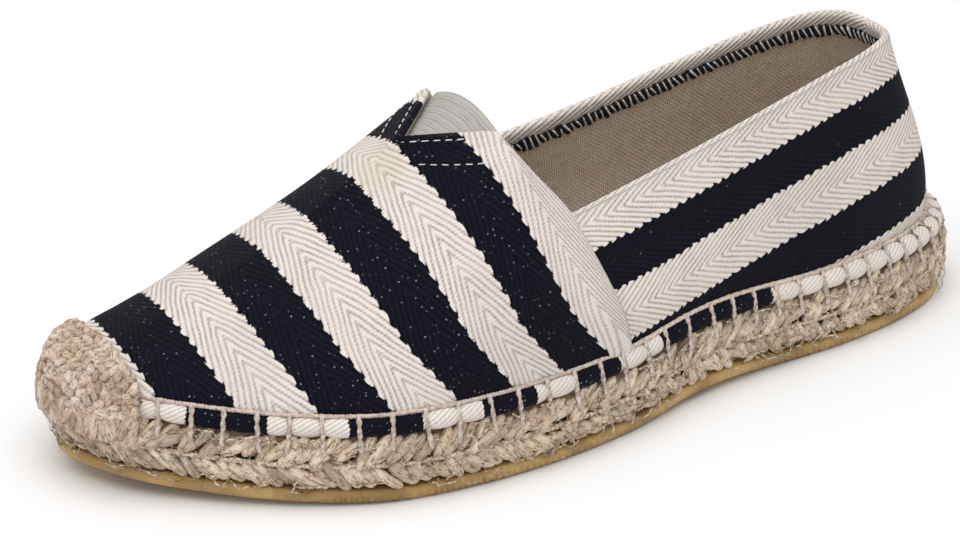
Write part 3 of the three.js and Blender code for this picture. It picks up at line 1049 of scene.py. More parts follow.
def makeVamp():
    plan = vampPlan
    ring = stationRing(plan["fine"], upperPlan["seamShare"])
    ts = 1 - (1 - np.linspace(0, 1, plan["rows"])) ** plan["crowding"]
    grid = wallGrid(ring, ts)
    normals = gridNormals(grid, False)
    depth = depthBelowRim(grid)
    share = ring["share"][:, None]
    fromSeam = (share - upperPlan["seamShare"]) * plan["sideRun"]
    seam = 1 - smooth(fromSeam / plan["seamWidth"])
    atNotch = share > upperPlan["flapShare"]
    notch = atNotch * (1 - smooth((depth - plan["notchWidth"] + 1) / 1.2))
    stitched = atNotch * np.exp(-(((depth - plan["stitchDepth"]) / plan["stitchWidth"]) ** 2))
    lift = plan["lift"] + plan["seamLift"] * seam + plan["notchFold"] * notch
    lift = lift - plan["stitchSink"] * stitched
    fromCrease = depth[:, :1] - depth
    lift = lift + plan["pucker"] * puckers(ring, fromCrease)
    q, way = vampPattern(grid)
    waves = np.sin(q / 9.0 + way / 21.0) * np.sin(way / 13.0 + 1.3)
    lift = lift + plan["wave"] * waves * smooth(fromCrease / 20)
    outer = grid + normals * lift[..., None]
    over = 1 - smooth((share - plan["overShare"]) / plan["overBlend"])
    raised = -plan["thick"] + (plan["thick"] + plan["overlap"]) * over
    under = np.where(over > 0, raised, -plan["thick"])
    pick = np.linspace(0, plan["rows"] - 1, plan["innerRows"]).round().astype(int)
    inner = (grid + normals * under[..., None])[:, pick]
    loops = roundedShell(outer, inner)
    length = loops.shape[1]
    made = makeShell("vampCloth", loops)
    stripe, fold = signedStripe(q, stripePlan["vampEdges"]), toNearest(q, stripePlan["vampFolds"])
    stripeUv(made, *[around(value, length, pick) for value in (stripe, way, fold, q)])
    outwardFaces(made)
    finishPiece(made, vampMaterial, "upper_cloth", "upper")
    return ring, grid, normals, depth


def around(value, length, pick):
    # a value on the outer rows carried round the upper edge to the inner rows
    caps = np.repeat(value[:, -1:], length - value.shape[1] - len(pick), 1)
    return np.concatenate([value, caps, value[:, pick][:, ::-1]], 1)


vampRing, vampGrid, vampNormals, vampDepth = makeVamp()
print("vamp made")

# The quarters: one sheet round the heel, with its collar rolled to the inside
quarterPlan = {
    "fine": 6,
    "rows": 70,
    "endShare": 0.487,
    "thick": 0.9,
    "roll": 1.25,
    "rollSteps": 7,
    "turnIn": 3.0,
    "pucker": 0.5,
    "wave": 0.3,
    "waveAlong": 15.0,
    "waveDown": 16.0,
    "under": 0.25,
    "tuckIn": 0.45,
}


def quarterRing(fine, endShare):
    shares = np.linspace(0, endShare, 22 * fine + 1)
    outer, outerOut = sideAt(shares, 1)
    inner, innerOut = sideAt(shares[1:], -1)
    return {
        "share": np.concatenate([shares[1:][::-1], shares]),
        "sign": np.concatenate([-np.ones(len(shares) - 1), np.ones(len(shares))]),
        "point": np.concatenate([inner[::-1], outer]),
        "out": np.concatenate([innerOut[::-1], outerOut]),
    }


def makeQuarter():
    plan = quarterPlan
    ring = quarterRing(plan["fine"], plan["endShare"])
    controls = wallControls(ring)
    endSpeed = 3 * np.linalg.norm(controls[3] - controls[2], axis=1)
    stop = 1 - plan["roll"] / endSpeed
    grid = wallGrid(ring, np.linspace(0, 1, plan["rows"])[None, :] * stop[:, None])
    normals = gridNormals(grid, False)
    depth = depthBelowRim(grid) + plan["roll"]
    fromCrease = depth[:, :1] - depth
    run = np.cumsum(np.linalg.norm(np.gradient(grid[:, 40], axis=0), axis=1))
    along = np.broadcast_to(run[:, None], depth.shape)
    lift = plan["pucker"] * puckers(ring, fromCrease)
    waves = plan["wave"] * np.sin(along / plan["waveAlong"]) * np.sin(depth / plan["waveDown"])
    lift = lift + waves * smooth(fromCrease / 18)
    under = smooth((ring["share"][:, None] - 0.45) / 0.03) * plan["under"]
    outer = grid + normals * (lift - under)[..., None]
    edge, normal = grid[:, -1], normals[:, -1]
    tangent = unit(grid[:, -1] - grid[:, -2])
    centre = edge - normal * plan["roll"]
    rows, depths = [outer], [depth]
    for step in range(1, plan["rollSteps"] + 1):
        turn = math.pi * step / plan["rollSteps"]
        point = centre + (normal * math.cos(turn) + tangent * math.sin(turn)) * plan["roll"]
        rows.append(point[:, None])
        depths.append(np.full((len(edge), 1), -plan["roll"] * turn))
    for down in (0.8, 1.6, 2.4, plan["turnIn"]):
        tuck = plan["tuckIn"] * smooth((down - 1.4) / 1.6)
        point = centre - tangent * down - normal * (plan["roll"] - tuck)
        rows.append(point[:, None])
        depths.append(np.full((len(edge), 1), -plan["roll"] * math.pi - down))
    pick = np.linspace(0, plan["rows"] - 8, 18).round().astype(int)
    inner = (grid - normals * plan["thick"])[:, pick][:, ::-1]
    rows.append(inner)
    depths.append(depth[:, pick][:, ::-1])
    loops, depthAll = np.concatenate(rows, 1), np.concatenate(depths, 1)
    made = makeShell("quarterCloth", loops)
    middle = run[len(run) // 2]
    alongAll = (np.broadcast_to(run[:, None], depthAll.shape) - middle) * ring["sign"][:, None] * -1
    stripe = signedStripe(depthAll, stripePlan["quarterEdges"])
    stripeUv(made, stripe, alongAll, toNearest(depthAll, stripePlan["quarterFolds"]), depthAll)
    outwardFaces(made)
    finishPiece(made, quarterMaterial, "upper_cloth", "upper")
    return ring, grid, normals, depth


quarterRun, quarterGrid, quarterNormals, quarterDepth = makeQuarter()
print("quarters made")

# Lining: plain weave on the whole inside
liningPlan = {
    "fine": 3,
    "rows": 34,
    "outer": 1.05,
    "inner": 1.85,
    "belowCollar": 5.6,
    "belowVamp": 0.8,
    "footDrop": 3.2,
    "yarn": 0.62,
    "deep": (0.56, 0.43, 0.33, 1),
    "top": (0.95, 0.80, 0.66, 1),
}


def wovenMaterial(name, plan, bump=0.0003):
    material, tree, shader = newMaterial(name, 0.95, 0.15)
    place = objectPlace(tree)
    pattern = ownUv(tree, "weave")
    woven = useGroup(tree, weaveGroup, {"Pattern": pattern, "Position": place, "Yarn": plan["yarn"]})
    # deep is painted shade between the yarns and top the painted light on the yarn tops, also mixed by
    # random patches
    colour = mixed(tree, spread(tree, woven["Shade and mottle"], 0.25, 0.75), plan["deep"], plan["top"])
    tree.links.new(colour, shader.inputs["Base Color"])
    addBump(tree, shader, woven["Height"], bump)
    return material


def makeLining():
    plan = liningPlan
    ring = stationRing(plan["fine"])
    controls = wallControls(ring)
    endSpeed = 3 * np.linalg.norm(controls[3] - controls[2], axis=1)
    below = np.where(ring["share"] < upperPlan["seamShare"], plan["belowCollar"], plan["belowVamp"])
    stop = 1 - below / endSpeed
    grid = wallGrid(ring, np.linspace(0, 1, plan["rows"])[None, :] * stop[:, None])
    normals = gridNormals(grid, True)
    outer, inner = grid - normals * plan["outer"], grid - normals * plan["inner"]
    drop = [0, 0, plan["footDrop"]]
    outer, inner = [np.concatenate([v[:, :1] - drop, v], 1) for v in (outer, inner)]
    loops = np.concatenate([outer, inner[:, ::-1]], 1)
    made = makeShell("liningCloth", loops, True)
    run = np.cumsum(np.linalg.norm(np.roll(grid[:, 16], -1, 0) - grid[:, 16], axis=1))
    depth = depthBelowRim(outer)
    depth = np.concatenate([depth, depth[:, ::-1]], 1)
    setUv(made, "weave", np.stack([np.broadcast_to(run[:, None], depth.shape).ravel(), depth.ravel()], 1))
    outwardFaces(made)
    finishPiece(made, wovenMaterial("khakiLining", plan), "upper_cloth", "upper")


makeLining()
print("lining made")

# Hem roll: puffy cells between the stitches
def makeHem():
    plan = hemPlan
    ring = hemRing
    index, phase = cellPhase(hemRun[:-1])
    puff = np.abs(np.sin(np.pi * phase)) ** 0.55
    uneven = plan["unevenness"]
    sizes = 1 + rng.uniform(-uneven, uneven, index.max() + 1)[index]
    scale = ((1 - plan["pinch"]) + plan["pinch"] * puff) * sizes
    angles = np.linspace(-math.pi, math.pi, plan["profile"], endpoint=False)
    rows = []
    for angle in angles:
        inset = plan["centreInset"] - plan["outward"] * math.cos(angle) * scale
        inset = inset + 0.3 * smooth(1 - ring["share"] / 0.3)
        height = upperFoot + plan["level"] + plan["upward"] * math.sin(angle) * (0.75 + 0.25 * puff)
        rows.append(beside(ring, inset, height))
    loops = np.stack(rows, 1)
    count, length = loops.shape[:2]
    made = makeShell("hemRoll", loops, True)
    q = vampPattern(hemCrease[:, None, :])[0][:, 0]
    q = q + np.interp(q, [0, 25], plan["shift"])
    fullDepth = depthBelowRim(wallGrid(ring, np.linspace(0, 1, 24)))[:, 0]
    isVamp = ring["share"] >= upperPlan["seamShare"] - plan["vampEnd"]
    onQuarter = signedStripe(fullDepth + plan["quarterShift"], stripePlan["quarterEdges"])
    stripe = np.where(isVamp, signedStripe(q, stripePlan["vampEdges"]), onQuarter)
    along = np.repeat(hemRun[:-1, None], length, 1)
    roundWay = np.broadcast_to(angles * 2.3, (count, length))
    stripeUv(made, np.repeat(stripe[:, None], length, 1), along, roundWay + along * 0.2, along)
    outwardFaces(made)
    material = stripedCloth("hemTwill", {**clothLook, **plan["look"]})
    finishPiece(made, material, "upper_cloth", "upper")


makeHem()

# Stitching: a thread along the crease, and one over the roll at each pinch
threadPlan = {
    "radius": 0.0006,
    "wideRadius": 0.00072,
    "spread": 0.8,
    "dark": (0.52, 0.41, 0.34, 1),
    "light": (0.76, 0.64, 0.56, 1),
}
pinkThread = threadMaterial("pinkThread", threadPlan["dark"], threadPlan["light"])


def alongRing(ring, run, way, inset, height):
    point, out = [pointsAt(way, run, np.concatenate([v, v[:1]])) for v in (ring["point"], ring["out"])]
    xy = point - out / np.linalg.norm(out) * inset
    return np.array([xy[0], xy[1], groundRise(xy[0]) + height])


def makeStitches():
    lines = []
    for way in stitchWays:
        share = float(np.interp(way, hemRun[:-1], hemRing["share"]))
        foot = float(clothFoot(share))
        slant = rng.uniform(-threadPlan["spread"], threadPlan["spread"])
        # inset, level and share of the slant, from the crease over the roll into the jute
        steps = [
            (foot + 0.3, hemTop + 1.3, 0),
            (foot - 0.9, hemTop + 1.4, 0),
            (1.5, hemTop + 0.1, 0),
            (0.75, upperFoot + 2.2, 0.1),
            (0.75, upperFoot + 0.6, 0.3),
            (0.1, juteTop - 0.9, 0.5),
            (-0.5, juteTop - 2.2, 0.8),
            (0.1, juteTop - 3.4, 1.0),
            (1.4, juteTop - 4.2, 1.1),
        ]
        lines.append(np.array([alongRing(hemRing, hemRun, way + slant * s, i, h) for i, h, s in steps]))
    guide = cordGuide("stitchGuide", lines)
    settings = {"Radius": threadPlan["wideRadius"], "Sides": 7, "Lobes": 2.0, "Lobe depth": 0.1}
    settings.update({"Turns per metre": 200.0, "Material": pinkThread})
    made = grown("hemStitches", guide, cordTree, settings)
    finishPiece(made, pinkThread, "upper_cloth")
    crease = beside(hemRing, clothFoot(hemRing["share"]) - 0.5, hemTop + 1.35)
    guide = cordGuide("creaseGuide", [crease], True)
    settings.update({"Radius": threadPlan["radius"]})
    made = grown("creaseThread", guide, cordTree, settings)
    finishPiece(made, pinkThread, "upper_cloth")


makeStitches()
print("hem and stitches made")

# Jute sole: a core, two rows of plaited strands, a thin rope in the groove
jutePlan = {
    "coreInset": 2.0,
    "spacing": 3.2,
    "lean": math.radians(42),
    "tiers": ((juteFoot + 3.7, 1), (grooveLevel + 3.5, -1)),
    "size": (10.0, 3.2, 2.9),
    "sizeRange": (0.82, 1.14),
    "leanSpread": 0.17,
    "inset": 1.35,
    "insetShift": -0.2,
    "insetJitter": 0.35,
    "levelJitter": 0.5,
    "wayJitter": 0.25,
    "tuck": 0.2,
    # dark: painted shade in the crevices and on the strands' hidden sides, also the darkest random strand
    # tone
    "dark": (0.17, 0.11, 0.06, 1),
    "middle": (0.78, 0.61, 0.45, 1),
    "light": (0.90, 0.77, 0.61, 1),
    "streaks": 8.0,
    # core: the jute's colours darkened, as painted shade in the gaps behind the strands
    "core": ((0.12, 0.07, 0.04, 1), (0.34, 0.23, 0.14, 1), (0.5, 0.37, 0.25, 1)),
    "tufts": 330,
    "tuftSize": (6.0, 1.7, 1.3),
    "tuftInset": (0.1, 0.6),
    "tuftTurn": 1.1,
    "tuftRange": (0.7, 1.3),
    "neatFrom": 175,
    "neatBlend": 40,
    "rope": ((0.38, 0.27, 0.17, 1), (0.84, 0.72, 0.56, 1)),
    "ropeRadius": 0.00065,
    "ropeInset": 0.1,
}
upward = np.array([0, 0, 1.0])
juteMaterial = fibreMaterial("juteStrand", *[jutePlan[k] for k in ("dark", "middle", "light", "streaks")])


def ringPlate(name, ring, profile, columns=14):
    # rings round the edge, closed below and above by rows across the sole
    rings = [beside(ring, inset, height) for inset, height in profile]
    count = len(ring["share"])
    points = [np.concatenate(rings)]
    faces = loopFaces(len(rings), count, False)
    start = len(rings) * count
    for edge, base in ((rings[0], 0), (rings[-1], (len(rings) - 1) * count)):
        rowsOf = []
        for i in range(1, count // 2):
            ts = np.linspace(0, 1, columns)[1:-1, None]
            rowsOf.append(edge[i] * (1 - ts) + edge[count - i] * ts)
            ids = [base + i] + list(range(start, start + columns - 2)) + [base + count - i]
            start += columns - 2
            if i == 1:
                faces += [(base, ids[k], ids[k + 1]) for k in range(columns - 1)]
            else:
                faces += [(last[k], ids[k], ids[k + 1], last[k + 1]) for k in range(columns - 1)]
            last = ids
        faces += [(last[k], base + count // 2, last[k + 1]) for k in range(columns - 1)]
        points.append(np.concatenate(rowsOf))
    made = makeObject(name, np.concatenate(points), faces)
    work = bmesh.new()
    work.from_mesh(made.data)
    bmesh.ops.recalc_face_normals(work, faces=work.faces)
    work.to_mesh(made.data)
    work.free()
    outwardFaces(made)
    return made


# frayed yarns that lie on the strands, and thin hairs that stand off them
loosePlans = {
    "juteWisps": {
        "count": 420,
        "points": 7,
        "step": (0.8, 2.0),
        "turn": 0.45,
        "radius": 0.00024,
        "sides": 5,
        "levels": (juteFoot + 0.6, juteTop - 0.8),
        "inset": -0.35,
        "stand": 0.0,
    },
    "juteHairs": {
        "count": 420,
        "points": 6,
        "step": (0.7, 2.0),
        "turn": 0.9,
        "radius": 0.00009,
        "sides": 3,
        "levels": (juteFoot - 0.4, juteTop - 1.0),
        "inset": -0.2,
        "stand": 0.32,
    },
}


def looseYarns(ring, run, plan):
    lines = []
    lowest, highest = plan["levels"][0] - 1, plan["levels"][1] + 1
    for _ in range(plan["count"]):
        way, level = rng.uniform(0, run[-1]), rng.uniform(*plan["levels"])
        inset, angle = plan["inset"] + rng.uniform(0, 0.5), rng.uniform(-0.9, 0.9)
        ahead = rng.choice([-1, 1])
        line = []
        for _ in range(plan["points"]):
            line.append(alongRing(ring, run, way % run[-1], inset, level))
            step = rng.uniform(*plan["step"])
            way += ahead * step * math.cos(angle)
            level = float(np.clip(level + step * math.sin(angle), lowest, highest))
            inset -= plan["stand"] * rng.uniform(0, 1) * step
            angle += rng.normal(0, plan["turn"])
        lines.append(np.array(line))
    return lines


def fibreUv(made, across, along):
    setUv(made, "strand", np.stack([across, along], 1))
    # a fixed round value: the painted strand shade darkens these pieces only slightly
    setUv(made, "round", np.full((len(across), 2), 0.45))


def makeJuteCore():
    core = jutePlan["coreInset"]
    profile = [
        (core + 1.2, juteFoot),
        (core, juteFoot + 1.5),
        (core, grooveLevel - 1.6),
        (core + 1.5, grooveLevel),
        (core, grooveLevel + 1.6),
        (core, juteTop - 1.5),
        (core + 1.0, juteTop),
    ]
    made = ringPlate("juteCore", stationRing(3), profile)
    points = vertexPlaces(made)
    fibreUv(made, points[:, 2] * 0.4, points[:, 0] + points[:, 1])
    finishPiece(made, fibreMaterial("juteCore", *jutePlan["core"]), "jute_braid", "jute_sole")


def facing(out, axis):
    # the part of the outward direction that is square to the axis
    return unit(np.cross(axis, np.cross(out, axis)))


def makeStrands(ring, run):
    plan = jutePlan
    shape = {"rings": 9, "sides": 9, "lobes": 3, "lobeDepth": 0.1, "blunt": 3.2, "bend": 0.05}
    pieces = templates("strand", 5, **shape)
    rows = []
    count = int(run[-1] / plan["spacing"])
    off, jog, bob = plan["wayJitter"], plan["insetJitter"], plan["levelJitter"]
    for level, lean in plan["tiers"]:
        ways = (np.arange(count) + rng.uniform(-off, off, count)) * run[-1] / count
        for way in ways:
            lift = rng.uniform(-bob, bob)
            inset = plan["inset"] + plan["insetShift"] + rng.uniform(-jog, jog)
            here = alongRing(ring, run, way, inset, level + lift)
            ahead = alongRing(ring, run, min(way + 1.5, run[-1]), plan["inset"], level)
            behind = alongRing(ring, run, max(way - 1.5, 0), plan["inset"], level)
            forward = unit(ahead - behind)
            out = unit(np.cross(forward, upward)) * -1
            angle = plan["lean"] + rng.normal(0, plan["leanSpread"])
            axis = forward * math.cos(angle) + upward * math.sin(angle) * lean
            axis = unit(axis + out * plan["tuck"])
            size = np.array(plan["size"]) * rng.uniform(*plan["sizeRange"], 3) * mm
            rows.append((here, axis, facing(out, axis), size))
    for _ in range(plan["tufts"]):
        # short yarns lying every way over the strands, fewer towards the toe
        way, level = rng.uniform(1, run[-1] - 1), rng.uniform(juteFoot + 2.2, juteTop - 2.0)
        here = alongRing(ring, run, way, rng.uniform(*plan["tuftInset"]), level)
        neat = here[0] > plan["neatFrom"] + rng.uniform(-plan["neatBlend"], plan["neatBlend"])
        ahead, behind = [alongRing(ring, run, way + step, 0, level) for step in (0.8, -0.8)]
        forward = unit(ahead - behind)
        out = unit(np.cross(forward, upward)) * -1
        angle = rng.uniform(-plan["tuftTurn"], plan["tuftTurn"])
        axis = unit(forward * math.cos(angle) + upward * math.sin(angle))
        if neat:
            continue
        size = np.array(plan["tuftSize"]) * rng.uniform(*plan["tuftRange"], 3) * mm
        rows.append((here, axis, facing(out, axis), size))
    settings = {"Pieces": pieces, "Seed": 4, "Size jitter": 0.06, "Turn jitter": 0.1}
    growRows("juteStrands", rows, settings, juteMaterial, "jute_braid")


def makeJute():
    makeJuteCore()
    ring = stationRing(6)
    run = loopRun(beside(ring, 0, 0))
    makeStrands(ring, run)
    guide = cordGuide("grooveGuide", [beside(ring, jutePlan["ropeInset"], grooveLevel + 0.1)], True)
    ropeMaterial = threadMaterial("grooveRope", *jutePlan["rope"], 0.0009)
    settings = {"Radius": jutePlan["ropeRadius"], "Sides": 9, "Lobes": 3.0, "Lobe depth": 0.16}
    settings.update({"Turns per metre": 260.0, "Material": ropeMaterial})
    finishPiece(grown("grooveRope", guide, cordTree, settings), ropeMaterial, "jute_braid")
    for name, loose in loosePlans.items():
        guide = cordGuide(name + "Guide", looseYarns(ring, run, loose))
        settings.update({"Radius": loose["radius"], "Sides": loose["sides"], "Lobe depth": 0.1})
        finishPiece(grown(name, guide, cordTree, settings), ropeMaterial, "jute_braid")


makeJute()
print("jute made")

# Rubber outsole
rubberPlan = {
    "deep": (0.31, 0.18, 0.05, 1),
    "top": (0.60, 0.39, 0.14, 1),
    "dust": (0.6, 0.46, 0.28, 1),
    "roughness": 0.42,
    "ribPitch": 0.0035,
    "zigWidth": 0.004,
}


def makeOutsole():
    inset = solePlan["treadInset"]
    ring = stationRing(3)
    thick = solePlan["tread"]
    profile = [
        (inset + 1.1, 0),
        (inset - 1.3, 0.3),
        (inset - 2.0, 1.1),
        (inset - 2.2, thick - 0.6),
        (inset - 1.6, thick + 0.2),
    ]
    made = ringPlate("outsoleRubber", ring, profile, 30)
    material, tree, shader = newMaterial("amberRubber", rubberPlan["roughness"], 0.5)
    place = objectPlace(tree)
    blotch = noise(tree, place, 60, 4)
    grit = noise(tree, place, 1600, 2)
    colour = mixed(tree, spread(tree, blotch, 0.3, 0.7), rubberPlan["deep"], rubberPlan["top"])
    dust = spread(tree, grit, 0.55, 0.75, 0.0, 0.35)
    tree.links.new(mixed(tree, dust, colour, rubberPlan["dust"]), shader.inputs["Base Color"])
    rough = spread(tree, blotch, 0.2, 0.8, 0.34, 0.6)
    tree.links.new(rough, shader.inputs["Roughness"])
    xyz = parted(tree, place)
    # a fine zig-zag rib, on the underside only
    zig = calc(tree, "ADD", xyz[0], calc(tree, "PINGPONG", xyz[1], rubberPlan["zigWidth"]))
    bars = calc(tree, "SINE", times(tree, zig, 2 * math.pi / rubberPlan["ribPitch"]))
    under = spread(tree, xyz[2], 0.0045, 0.0005)
    height = calc(tree, "ADD", times(tree, bars, under), times(tree, grit, 0.25))
    addBump(tree, shader, height, 0.0006)
    finishPiece(made, material, "tread_rubber", "outsole")


makeOutsole()

# Canvas insole with a bevelled edge
insolePlan = {"yarn": 1.0, "deep": (0.30, 0.245, 0.17, 1), "top": (0.52, 0.45, 0.34, 1)}


def makeInsole():
    ring = stationRing(3)
    edge = clothFoot(ring["share"]) + upperPlan["wall"] + 0.6
    profile = [(edge, upperFoot), (edge, upperFoot + 1.6), (edge + 0.8, upperFoot + 1.9)]
    made = ringPlate("insoleCanvas", ring, profile, 24)
    setUv(made, "weave", vertexPlaces(made)[:, :2])
    finishPiece(made, wovenMaterial("insoleCanvas", insolePlan, 0.0004), "insole_cloth", "insole")


makeInsole()
print("outsole and insole made")

# Toe guard: a base, knots in rows behind, long loops down the front
guardPlan = {
    "length": 14.5,
    "slant": 0.12,
    "gap": 0.4,
    "base": 1.8,
    "rows": 26,
    "knotRows": 14,
    "rowStep": 2.05,
    "knotStep": 2.15,
    "knotSize": (3.5, 2.0, 2.0),
    "knotTurn": 0.75,
    "pastHem": 4.6,
    "loopStep": 2.0,
    "loopLevel": (3.6, 5.4),
    "loopLength": (7.5, 10.0),
    "loopWidth": 2.3,
    "loopDepth": 2.5,
    "streaks": 7.0,
    # dark: painted shade in the crevices and on the knots' and loops' hidden sides, also the darkest random
    # tone
    "dark": (0.18, 0.105, 0.06, 1),
    "middle": (0.74, 0.55, 0.41, 1),
    "light": (0.92, 0.78, 0.66, 1),
}
guardMaterial = fibreMaterial("guardCord", *[guardPlan[k] for k in ("dark", "middle", "light", "streaks")])


def guardSurface():
    # lines from the groove over the hem to the guard's rear edge, and how long each part is
    plan = guardPlan
    ring = stationRing(6)
    ring = partOf(ring, wallControls(ring)[0][:, 0] >= solePlan["length"] - plan["length"])
    fineT = np.linspace(0, 0.6, 120)
    cloth = wallGrid(ring, fineT)
    clothOut = gridNormals(cloth, False)
    behind = cloth[..., 0] - (solePlan["length"] - plan["length"] + plan["slant"] * (cloth[..., 2] - hemTop))
    low = grooveLevel
    steps = [
        (-0.3, low),
        (-0.5, grooveLevel + 3),
        (-0.2, juteTop - 1),
        (0.5, upperFoot + 1.4),
        (0.9, hemTop - 0.8),
    ]
    side = np.stack([beside(ring, inset, height) for inset, height in steps], 1)
    lines, parts = [], []
    for i in range(len(cloth)):
        stop = max(3, int(np.argmax(behind[i] < 0)) if (behind[i] < 0).any() else len(fineT) - 1)
        top = cloth[i, 2:stop] + clothOut[i, 2:stop] * (plan["gap"] + 0.2)
        line = np.concatenate([side[i], top])
        run = runAlong(line)
        lines.append((line, run))
        parts.append(run[len(steps) - 1])
    return lines, np.array(parts)


def makeGuard():
    plan = guardPlan
    rows = plan["rows"]
    lines, sideParts = guardSurface()
    grid = np.array([pointsAt(np.linspace(0, run[-1], rows), run, line) for line, run in lines])
    normals = gridNormals(grid, False)
    loops = roundedShell(grid + normals * plan["base"], grid)
    count = len(loops)
    made = makeShell("toeGuardBase", loops)
    points = vertexPlaces(made)
    fibreUv(made, points[:, 1] * 0.5, points[:, 2])
    outwardFaces(made)
    finishPiece(made, guardMaterial, "toe_cord", "toe_guard")
    totals = np.array([run[-1] for _, run in lines])

    def surfaceAt(i, ways):
        # point and outward direction between two lines, at each line's own way
        i = float(np.clip(i, 0, count - 1.001))
        k, u = int(i), i - int(i)
        out = []
        for index in (k, k + 1):
            line, run = lines[index]
            way = np.clip(ways[index], 0, run[-1])
            part = way / run[-1] * (rows - 1)
            row = min(int(part), rows - 2)
            normal = normals[index, row] * (1 - part + row) + normals[index, row + 1] * (part - row)
            out.append((pointsAt(way, run, line), normal))
        spot = out[0][0] * (1 - u) + out[1][0] * u
        return spot, unit(out[0][1] * (1 - u) + out[1][1] * u)

    def knotRow(fromTop, start):
        ways = totals - fromTop
        path = np.array([surfaceAt(i, ways)[0] for i in range(count - 1)])
        covered = ways > sideParts - plan["pastHem"]
        run = runAlong(path)
        found, where = [], start
        while where < run[-1]:
            i = float(np.interp(where, run, np.arange(len(run))))
            if covered[int(i)]:
                spot, out = surfaceAt(i, ways)
                forward = unit(surfaceAt(i + 1, ways)[0] - spot)
                turn = rng.choice([-plan["knotTurn"], plan["knotTurn"]]) + rng.uniform(-0.35, 0.35)
                axis = forward * math.cos(turn) + np.cross(out, forward) * math.sin(turn)
                place = spot + out * (plan["base"] + rng.uniform(-0.1, 0.25))
                size = np.array(plan["knotSize"]) * rng.uniform(0.85, 1.15, 3) * mm
                found.append((place, axis, out, size))
            where += plan["knotStep"] * rng.uniform(0.9, 1.1)
        return found

    found = []
    for j in range(plan["knotRows"]):
        found += knotRow(0.4 + j * plan["rowStep"], (j % 2) * 1.2)
    knots = templates("knot", 5, rings=7, sides=8, lobes=2, lobeDepth=0.12, blunt=2.6, bend=0.1)
    settings = {"Pieces": knots, "Seed": 9, "Size jitter": 0.1, "Turn jitter": 0.3}
    growRows("toeGuardKnots", found, settings, guardMaterial, "toe_cord")

    found, where = [], 0.8
    run = runAlong(grid[:, 3])
    while where < run[-1]:
        i = float(np.interp(where, run, np.arange(count)))
        level = rng.uniform(*plan["loopLevel"])
        spot, out = surfaceAt(i, np.full(count, level))
        high, _ = surfaceAt(i + rng.uniform(-2.4, 2.4), np.full(count, level + 3))
        place = spot + out * (plan["base"] * 0.7 + rng.uniform(-0.1, 0.4))
        loopLong = rng.uniform(*plan["loopLength"])
        size = np.array([loopLong, plan["loopWidth"] * rng.uniform(0.85, 1.15), plan["loopDepth"]]) * mm
        found.append((place, unit(high - spot), out, size))
        where += plan["loopStep"] * rng.uniform(0.85, 1.15)
    loopsSet = templates("loop", 5, rings=9, sides=8, lobes=2, lobeDepth=0.14, blunt=4.0, bend=0.06)
    settings.update({"Pieces": loopsSet, "Seed": 12, "Turn jitter": 0.06})
    growRows("toeGuardLoops", found, settings, guardMaterial, "toe_cord")


makeGuard()
print("toe guard made")

# Elastic gore under the notch
gorePlan = {
    "thick": 1.3,
    "gap": 0.5,
    "crown": 4.5,
    "tuck": 5,
    "narrowest": 2.5,
    "across": 44,
    "yarn": 0.95,
    "selvedge": 2.2,
    "deep": (0.34, 0.315, 0.29, 1),
    "top": (0.49, 0.46, 0.43, 1),
}


def underCloth(line, out, way, depth):
    # a point at a way down from the line's upper end, sunk below the cloth
    run = runAlong(line[::-1])
    return pointsAt(way, run, line[::-1]) - unit(pointsAt(way, run, out[::-1])) * depth


def makeGore():
    plan = gorePlan
    shares = np.linspace(upperPlan["flapShare"] + 0.003, 0.995, 150)
    rings = {}
    for sign in (1, -1):
        point, out = sideAt(shares, sign)
        rings[sign] = {"share": shares, "sign": np.full(len(shares), sign), "point": point, "out": out}
    grids = {sign: wallGrid(ring, np.linspace(0.5, 1, 50)) for sign, ring in rings.items()}
    outs = {1: gridNormals(grids[1], False), -1: -gridNormals(grids[-1], False)}
    depth = upperPlan["wall"] + plan["gap"]
    rows = []
    ways = np.linspace(plan["tuck"], 0, 7)
    for i in range(len(shares)):
        rim = rimPoint(shares[i], 1)
        if rim[1] < plan["narrowest"]:
            break
        left = [underCloth(grids[1][i], outs[1][i], way, depth) for way in ways]
        right = [underCloth(grids[-1][i], outs[-1][i], way, depth) for way in ways[::-1]]
        lift = plan["crown"] * ((left[-1][1] - right[0][1]) / (2 * upperPlan["flapTip"][1])) ** 2
        ts = np.linspace(0, 1, plan["across"] + 1)[1:-1]
        middle = [left[-1] * (1 - t) + right[0] * t + [0, 0, lift * 4 * t * (1 - t)] for t in ts]
        row = np.array(left + middle + right)
        ahead = rim[0] - upperPlan["flapTip"][0]
        rib = abs(math.sin(math.pi * ahead / plan["yarn"]))
        row[:, 2] += 0.1 * rib + (0.35 if ahead < plan["selvedge"] else 0.0)
        rows.append(row)
    top = np.array(rows)
    under = top - [0, 0, plan["thick"]]
    loops = np.concatenate([top, under[:, ::-1]], 1)
    made = makeShell("goreElastic", loops)
    setUv(made, "weave", loops.reshape(-1, 3)[:, :2] * [1.0, 0.0])
    outwardFaces(made)
    finishPiece(made, wovenMaterial("goreElastic", plan, 0.00012), "gore_elastic", "elastic_gore")


makeGore()
print("gore made")

# White dashes round the notch, and the overlocked edge inside the collar
stitchPlan = {
    "dash": (1.9, 0.34, 0.36),
    "gap": 3.0,
    "rows": ((1.7, 0.72), (8.8, 0.38)),
    "white": ((0.62, 0.60, 0.57, 1), (0.88, 0.86, 0.83, 1)),
    "black": ((0.003, 0.003, 0.005, 1), (0.02, 0.02, 0.03, 1)),
    "piping": 0.00055,
    "pipingDepth": 0.35,
    "overlockDepth": 5.2,
    "overlockStep": 1.75,
}
whiteThread = threadMaterial("whiteThread", *stitchPlan["white"])
blackThread = threadMaterial("blackThread", *stitchPlan["black"])
dashPieces = templates("dash", 3, rings=6, sides=6, lobes=2, lobeDepth=0.05, blunt=6.0, bend=0.0)


